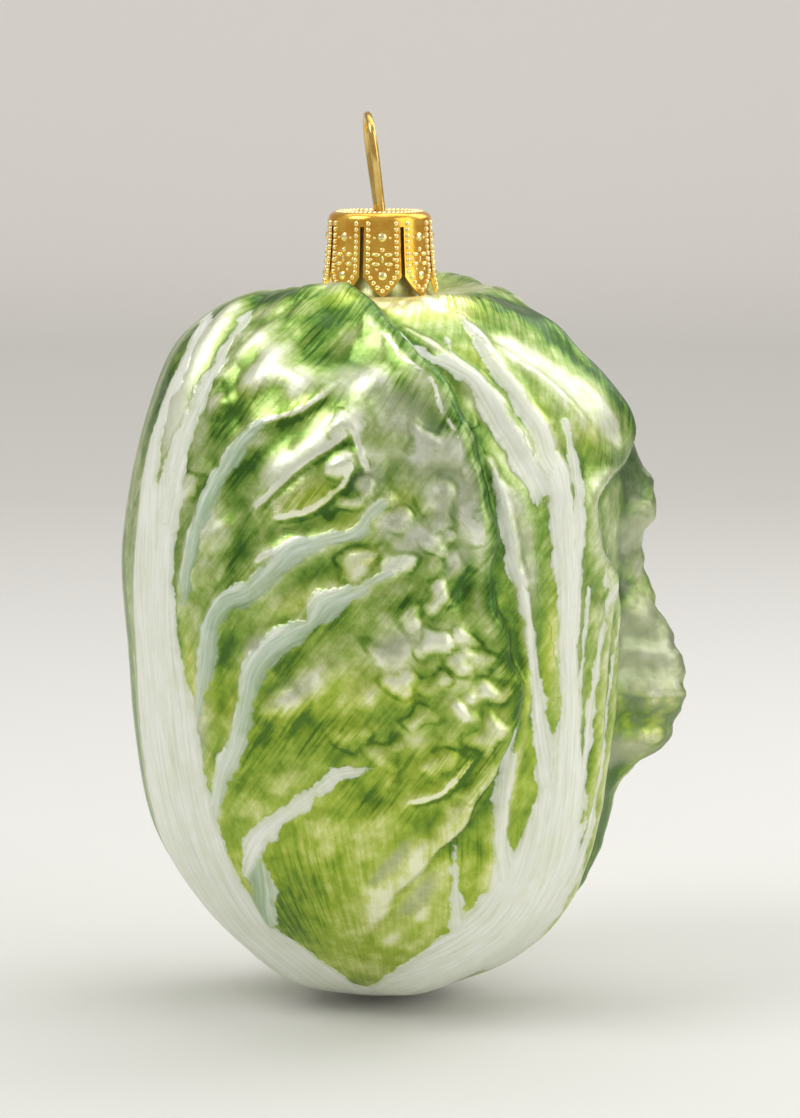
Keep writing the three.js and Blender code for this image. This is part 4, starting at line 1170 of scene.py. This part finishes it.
def make_gold(name, bright, dark, beads, roughness, grain_size):
    """Gold metal: a warm mirror with fine rolling marks, a little tarnish and painted highlights on the
    beads.
    """
    material, tree, surface = new_material(name)
    tarnish = sized_texture(tree, 3.0, "TexNoise", Detail=4, Roughness=0.55)
    grain = sized_texture(tree, grain_size, "TexNoise", Detail=3, Roughness=0.55)
    share = add_node(tree, "MapRange", SOFT_STEP, _0=tarnish, _1=0.35, _2=0.7)
    colour = add_node(tree, "Mix", COLOURS, _0=share, _6=linear(bright), _7=linear(dark))
    # Painted highlight: the beads take the brighter colour.
    on_bead = add_node(tree, "Attribute", {"attribute_name": "bead"}).outputs["Fac"]
    colour = add_node(tree, "Mix", COLOURS, _0=on_bead, _6=colour, _7=linear(beads))
    rough = add_node(tree, "Math", MULTIPLY_ADD, _0=grain, _1=0.2, _2=roughness - 0.1)
    marks = add_node(tree, "Math", MULTIPLY, _0=grain, _1=0.03)
    bump = add_node(tree, "Bump", Strength=0.5, Distance=MM, Height=marks)
    feed(surface, {"Base_Color": colour, "Metallic": 1.0, "Roughness": rough, "Normal": bump})
    return material


# Crown cap
def cap_radius_at(height):
    """The cap's radius, which widens from the shoulder down to the petals' tips."""
    share = np.clip((CAP_TOP - CAP_SHOULDER - height) / (CAP_TOP - CAP_SHOULDER - CAP_TIP), 0, 1)
    return CAP_RADIUS + (CAP_TIP_RADIUS - CAP_RADIUS) * share ** 1.6


def petal_columns():
    """Angles of the cap's columns: across each petal evenly, with one narrow face over each slit."""
    half = PETAL_PITCH / 2 - SLIT_HALF_ANGLE
    inner = np.linspace(-half, half, FACES_PER_PETAL)
    return np.concatenate([CAP_TURN + k * PETAL_PITCH + inner for k in range(PETAL_COUNT)])


def petal_edge(angle):
    """The height of a petal's lower edge: straight sides run down into a leaf-like point."""
    off = np.abs((angle - CAP_TURN + PETAL_PITCH / 2) % PETAL_PITCH - PETAL_PITCH / 2)
    share = np.clip(off / (PETAL_PITCH / 2 - SLIT_HALF_ANGLE), 0, 1)
    return CAP_TIP + (PETAL_POINT_FROM - CAP_TIP) * share ** 1.35


def cap_rows(angle):
    """Radius and height of the cap's rows at each angle, from the petals' edge up to the top's middle."""
    edge = petal_edge(angle)
    rows = []
    for i in range(SKIRT_ROWS):
        height = edge + (SLIT_TOP - edge) * i / SKIRT_ROWS
        rows.append((cap_radius_at(height), height))
    for height in BAND_HEIGHTS:
        rows.append((np.full(angle.shape, cap_radius_at(height)), np.full(angle.shape, height)))
    for turn in SHOULDER_ANGLES:
        radius = CAP_RADIUS - CAP_SHOULDER * (1 - math.cos(math.radians(turn)))
        height = CAP_TOP - CAP_SHOULDER * (1 - math.sin(math.radians(turn)))
        rows.append((np.full(angle.shape, radius), np.full(angle.shape, height)))
    for radius in TOP_RADII:
        rows.append((np.full(angle.shape, radius), np.full(angle.shape, TOP_FACE)))
    rows.append((np.zeros(angle.shape), np.full(angle.shape, TOP_FACE)))
    return rows


def apply_modifier(piece, kind, **settings):
    modifier = piece.modifiers.new(kind.title(), kind)
    for key, value in settings.items():
        setattr(modifier, key, value)
    bpy.context.view_layer.objects.active = piece
    bpy.ops.object.modifier_apply(modifier=modifier.name)


def make_cap_shell():
    """The stamped sheet: a grid rolled into a cup, with its faces over the slits left out."""
    angle = petal_columns()
    closed = np.append(angle, angle[0] + 360)
    rows = cap_rows(closed)
    bpy.ops.mesh.primitive_grid_add(x_subdivisions=len(closed) - 1, y_subdivisions=len(rows) - 1, size=2)
    shell = bpy.context.object
    shell.name = "crown_cap_stamped"
    flat = read_points(shell.data)
    column = np.rint((flat[:, 0] + 1) / 2 * (len(closed) - 1)).astype(int)
    row = np.rint((flat[:, 1] + 1) / 2 * (len(rows) - 1)).astype(int)
    radii = np.array([r for r, _ in rows])
    heights = np.array([h for _, h in rows])
    turn = np.radians(closed[column])
    radius = radii[row, column]
    places = np.stack([radius * np.sin(turn), -radius * np.cos(turn), heights[row, column]], axis=1)
    write_places(shell.data, places)
    slit_faces = []
    for face in shell.data.polygons:
        columns = sorted(int(column[v]) for v in face.vertices)
        over_slit = columns[0] % FACES_PER_PETAL == FACES_PER_PETAL - 1
        if over_slit and max(row[v] for v in face.vertices) <= SKIRT_ROWS:
            slit_faces.append(face.index)
    mesh = bmesh.new()
    mesh.from_mesh(shell.data)
    mesh.faces.ensure_lookup_table()
    bmesh.ops.delete(mesh, geom=[mesh.faces[i] for i in slit_faces], context="FACES")
    bmesh.ops.remove_doubles(mesh, verts=mesh.verts, dist=0.02 * MM)
    bmesh.ops.recalc_face_normals(mesh, faces=mesh.faces)
    mesh.to_mesh(shell.data)
    mesh.free()
    apply_modifier(shell, "SOLIDIFY", thickness=CAP_SHEET * MM, offset=-1)
    return shell


def bead(place_mm, outward, size, stretch=(1, 1), flat=0.55, segments=8):
    """One low bead: a ball sunk by half, flattened along the way that it faces."""
    bpy.ops.mesh.primitive_uv_sphere_add(segments=segments, ring_count=5, radius=size * MM)
    piece = bpy.context.object
    piece.scale = (stretch[0], stretch[1], flat)
    piece.rotation_euler = Vector(outward).to_track_quat("Z", "Y").to_euler()
    piece.location = place(place_mm)
    # Marks the bead for the gold's brighter colour, a painted highlight.
    marked = piece.data.attributes.new("bead", "FLOAT", "POINT")
    marked.data.foreach_set("value", np.ones(len(piece.data.vertices), dtype=np.float32))
    return piece


def on_cap(angle, height, lift):
    """A place on the cap's side, lifted off it, and the way outward there."""
    radius = float(cap_radius_at(height)) + lift
    turn = math.radians(angle)
    return (radius * math.sin(turn), -radius * math.cos(turn), height), (math.sin(turn), -math.cos(turn), 0)


def border_route():
    """The beaded line inside a petal's edge, in (sideways, height) from slit top to slit top."""
    half = math.radians(PETAL_PITCH / 2) * CAP_RADIUS - SLIT_WIDTH / 2 - BORDER_INSET
    tip = CAP_TIP + BORDER_INSET * 1.5
    right = [
        (half, SLIT_TOP + 0.4), (half + 0.05, 97), (half + 0.1, PETAL_POINT_FROM + 0.5),
        (half * 0.72, 93.4), (half * 0.4, 92.7), (0, tip),
    ]
    return right + [(-x, h) for x, h in reversed(right[:-1])]


def evenly(route, pitch):
    """Points along a route, about a pitch apart."""
    points = np.array(route, float)
    lengths = np.concatenate([[0], np.cumsum(np.hypot(*np.diff(points, axis=0).T))])
    count = max(2, round(lengths[-1] / pitch))
    steps = np.linspace(0, lengths[-1], count + 1)
    along = np.stack([np.interp(steps, lengths, points[:, k]) for k in (0, 1)], axis=1)
    return [(float(x), float(height)) for x, height in along]


def petal_ornament():
    """Beads of one petal: (sideways, height, size, stretch sideways, stretch upright)."""
    beads = [(x, h, BORDER_BEAD, 1, 1) for x, h in evenly(border_route(), BORDER_PITCH)]
    beads += MIDDLE_BEADS
    for side in (-1, 1):
        beads += [(side * x, *rest) for x, *rest in SIDE_BEADS]
    return beads


def make_cap():
    """The stamped shell, one petal's beads repeated on every petal, the ring on top and the two holes."""
    shell = make_cap_shell()
    pieces = [shell]
    first_petal = []
    for x, height, size, wide, tall in petal_ornament():
        angle = math.degrees(x / float(cap_radius_at(height)))
        centre, outward = on_cap(angle, height, -0.02)
        flat = 0.85 if size < 0.5 else 0.55
        first_petal.append(bead(centre, outward, size, stretch=(wide, tall), flat=flat))
    ornament = join_all(first_petal)
    bpy.ops.object.transform_apply(location=True, rotation=True, scale=True)
    for k in range(PETAL_COUNT):
        turn = math.radians(CAP_TURN + k * PETAL_PITCH)
        copy = bpy.data.objects.new("petal_beads", ornament.data.copy())
        bpy.context.collection.objects.link(copy)
        co = read_points(copy.data) - np.array([AXIS_X, AXIS_Y, 0])
        x = co[:, 0] * math.cos(turn) - co[:, 1] * math.sin(turn)
        y = co[:, 0] * math.sin(turn) + co[:, 1] * math.cos(turn)
        co = np.stack([x + AXIS_X, y + AXIS_Y, co[:, 2]], axis=1)
        copy.data.vertices.foreach_set("co", co.ravel())
        pieces.append(copy)
    bpy.data.objects.remove(ornament)
    for k in range(TOP_RING_BEADS):
        turn = 2 * math.pi * k / TOP_RING_BEADS
        centre = (TOP_RING_RADIUS * math.sin(turn), -TOP_RING_RADIUS * math.cos(turn), TOP_FACE)
        pieces.append(bead(centre, (0, 0, 1), TOP_RING_BEAD, flat=0.95, segments=7))
    select_only(pieces[1:])
    bpy.ops.object.transform_apply(location=True, rotation=True, scale=True)
    for side in (-1, 1):
        cut_wire_hole(shell, side)
    cap = join_all(pieces)
    bpy.ops.object.shade_smooth_by_angle(angle=math.radians(40))
    return cap


def cut_wire_hole(shell, side):
    """Cuts the hole for the wire's leg on one side through the cap's top."""
    centre = place(wire_point(side * LEG_HALF_GAP, CAP_TOP))
    radius = WIRE_HOLE_RADIUS * MM
    bpy.ops.mesh.primitive_cylinder_add(vertices=24, radius=radius, depth=4 * MM, location=centre)
    drill = bpy.context.object
    apply_modifier(shell, "BOOLEAN", operation="DIFFERENCE", object=drill)
    bpy.data.objects.remove(drill)


# Hanger wire
def wire_point(across, height):
    """A point of the wire, which lies in one plane that leans and is turned a little. Across is measured
    in that plane, and height is true."""
    lean = math.tan(math.radians(LOOP_LEAN)) * (height - CAP_TOP)
    turn = math.radians(LOOP_TURN)
    return (across * math.sin(turn) - lean, -across * math.cos(turn), height)


def make_wire():
    """A round wire from the end of one leg over the loop to the end of the other."""
    crown = LOOP_TOP - WIRE_DIAMETER / 2
    half = [
        LEG_END, (5.4, 85), (3.7, 91), (3.05, 95), (2.8, 99), (LEG_HALF_GAP, CAP_TOP), (2.9, CAP_TOP + 2.2),
        (3.4, CAP_TOP + 4.9), (LOOP_HALF_WIDTH, CAP_TOP + 7.8), (2.75, CAP_TOP + 10.9),
    ]
    route = half + [(0, crown)] + [(-across, height) for across, height in reversed(half)]
    smooth_route = refined(route, steps=10)
    data = bpy.data.curves.new("hanger_wire_gold", "CURVE")
    data.dimensions = "3D"
    data.bevel_depth = WIRE_DIAMETER / 2 * MM
    data.bevel_resolution = 5
    data.use_fill_caps = True
    spline = data.splines.new("POLY")
    spline.points.add(len(smooth_route) - 1)
    for point, (across, height) in zip(spline.points, smooth_route):
        point.co = (*place(wire_point(across, height)), 1)
    wire = bpy.data.objects.new("hanger_wire_gold", data)
    bpy.context.collection.objects.link(wire)
    select_only([wire])
    bpy.ops.object.convert(target="MESH")
    bpy.ops.object.shade_smooth_by_angle(angle=math.radians(50))
    return bpy.context.object


def finish_piece(piece, node, material):
    piece.data.materials.clear()
    piece.data.materials.append(material)
    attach(piece, "root")
    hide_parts(node)


# Camera, lights and stage
def look_from(eye, target):
    return (Vector(target) - Vector(eye)).to_track_quat("-Z", "Y").to_euler()


def add_camera():
    target = place(VIEW_TARGET)
    rise = math.radians(VIEW_ELEVATION)
    eye = target + Vector((0, -math.cos(rise), math.sin(rise))) * VIEW_DISTANCE * MM
    data = bpy.data.cameras.new("camera")
    data.sensor_fit = "HORIZONTAL"
    data.sensor_width = SENSOR
    data.lens = SENSOR * VIEW_DISTANCE / VIEW_WIDTH
    camera = bpy.data.objects.new("camera", data)
    bpy.context.scene.collection.objects.link(camera)
    camera.location = eye
    camera.rotation_euler = look_from(eye, target)
    bpy.context.scene.camera = camera


def add_panel(name, offset, size, power, colour, aim=(0, 0, 0)):
    """A large soft panel light, aimed at the middle of the head or at another offset from it."""
    data = bpy.data.lights.new(name, "AREA")
    data.shape = "RECTANGLE"
    data.size, data.size_y = (s * MM for s in size)
    data.energy = power
    data.color = linear(colour)[:3]
    light = bpy.data.objects.new(name, data)
    bpy.context.scene.collection.objects.link(light)
    middle = place((0, 0, 50))
    light.location = middle + Vector(offset) * MM
    light.rotation_euler = look_from(light.location, middle + Vector(aim) * MM)


def add_world():
    """Soft studio surroundings: pale all round, a little darker in front and below."""
    world = bpy.data.worlds.new("soft_studio")
    world.use_nodes = True
    tree = world.node_tree
    direction = add_node(tree, "TexCoord").outputs["Generated"]
    split = add_node(tree, "SeparateXYZ", _0=direction).outputs
    tones = []
    for axis, low, high in WORLD_TONES:
        share = add_node(tree, "MapRange", _0=split[axis], _1=-0.8, _2=0.6)
        tones.append(add_node(tree, "Mix", COLOURS, _0=share, _6=linear(low), _7=linear(high)))
    both = add_node(tree, "Mix", COLOURS, _0=0.5, _6=tones[0], _7=tones[1])
    feed(tree.nodes["Background"], {"_0": both, "_1": WORLD_STRENGTH})
    bpy.context.scene.world = world


def make_stage():
    """A wide sheet of pale paper that runs flat under the ornament and curves up far behind it."""
    curve = [(-PAPER_HALF_WIDTH, 0)]
    for degrees in range(0, 91, 5):
        turn = math.radians(degrees)
        back = PAPER_BEND_FROM + PAPER_BEND_RADIUS * math.sin(turn)
        curve.append((back, PAPER_BEND_RADIUS * (1 - math.cos(turn))))
    curve.append((curve[-1][0], PAPER_HALF_WIDTH))
    bpy.ops.mesh.primitive_grid_add(x_subdivisions=1, y_subdivisions=len(curve) - 1, size=2)
    paper = bpy.context.object
    paper.name = "paper_backdrop"
    for vertex in paper.data.vertices:
        back, up = curve[round((vertex.co.y + 1) / 2 * (len(curve) - 1))]
        vertex.co = place((vertex.co.x * PAPER_HALF_WIDTH, back, up - FLOOR_GAP))
    bpy.ops.object.shade_smooth()
    material, tree, surface = new_material("matte_paper_pale")
    fibre = sized_texture(tree, 0.5, "TexNoise", Detail=4, Roughness=0.55)
    coordinates = add_node(tree, "TexCoord").outputs["Object"]
    distance = add_node(tree, "SeparateXYZ", _0=coordinates).outputs["Y"]
    far = AXIS_Y + (PAPER_BEND_FROM + PAPER_BEND_RADIUS) * MM
    share = add_node(tree, "MapRange", SOFT_STEP, _0=distance, _1=AXIS_Y, _2=far)
    # Painted light falloff: the paper's tone changes with distance behind the ornament.
    tone = add_node(tree, "ValToRGB", {"stops": PAPER_SHADE_BY_DISTANCE}, _0=share)
    bump = add_node(tree, "Bump", Strength=0.12, Distance=0.1 * MM, Height=fibre)
    feed(surface, {"Base_Color": tone, "Roughness": 0.85, "Normal": bump})
    paper.data.materials.append(material)


add_camera()
finish_piece(make_glass_head(), "glass_head", make_painted_glass())
# The third colour is the painted highlight on the cap's beads.
cap_gold = make_gold("anodised_gold_satin", "#FFCB5C", "#EDAA3C", "#FFEEB0", 0.19, 0.35)
finish_piece(make_cap(), "crown_cap", cap_gold)
wire_gold = make_gold("gold_wire_polished", "#EACB7C", "#D2A850", "#EACB7C", 0.12, 0.25)
finish_piece(make_wire(), "hanger_wire", wire_gold)
make_stage()
add_world()
add_panel("key_window", (-400, -220, 510), (340, 340), 1.5, "#FFFFFF")
add_panel("fill_right", (480, -260, 220), (380, 500), 0.85, "#FFFDF8")
add_panel("top_sky", (60, 60, 520), (420, 420), 0.6, "#FFFFFF")
add_panel("far_wash", (0, 700, 1300), (1800, 1200), 7.5, "#FFFCF8", aim=(0, 1900, 0))
add_panel("back_window", (330, 210, 300), (300, 300), 0.5, "#FFFFFF")
bpy.context.scene.view_settings.view_transform = "Standard"
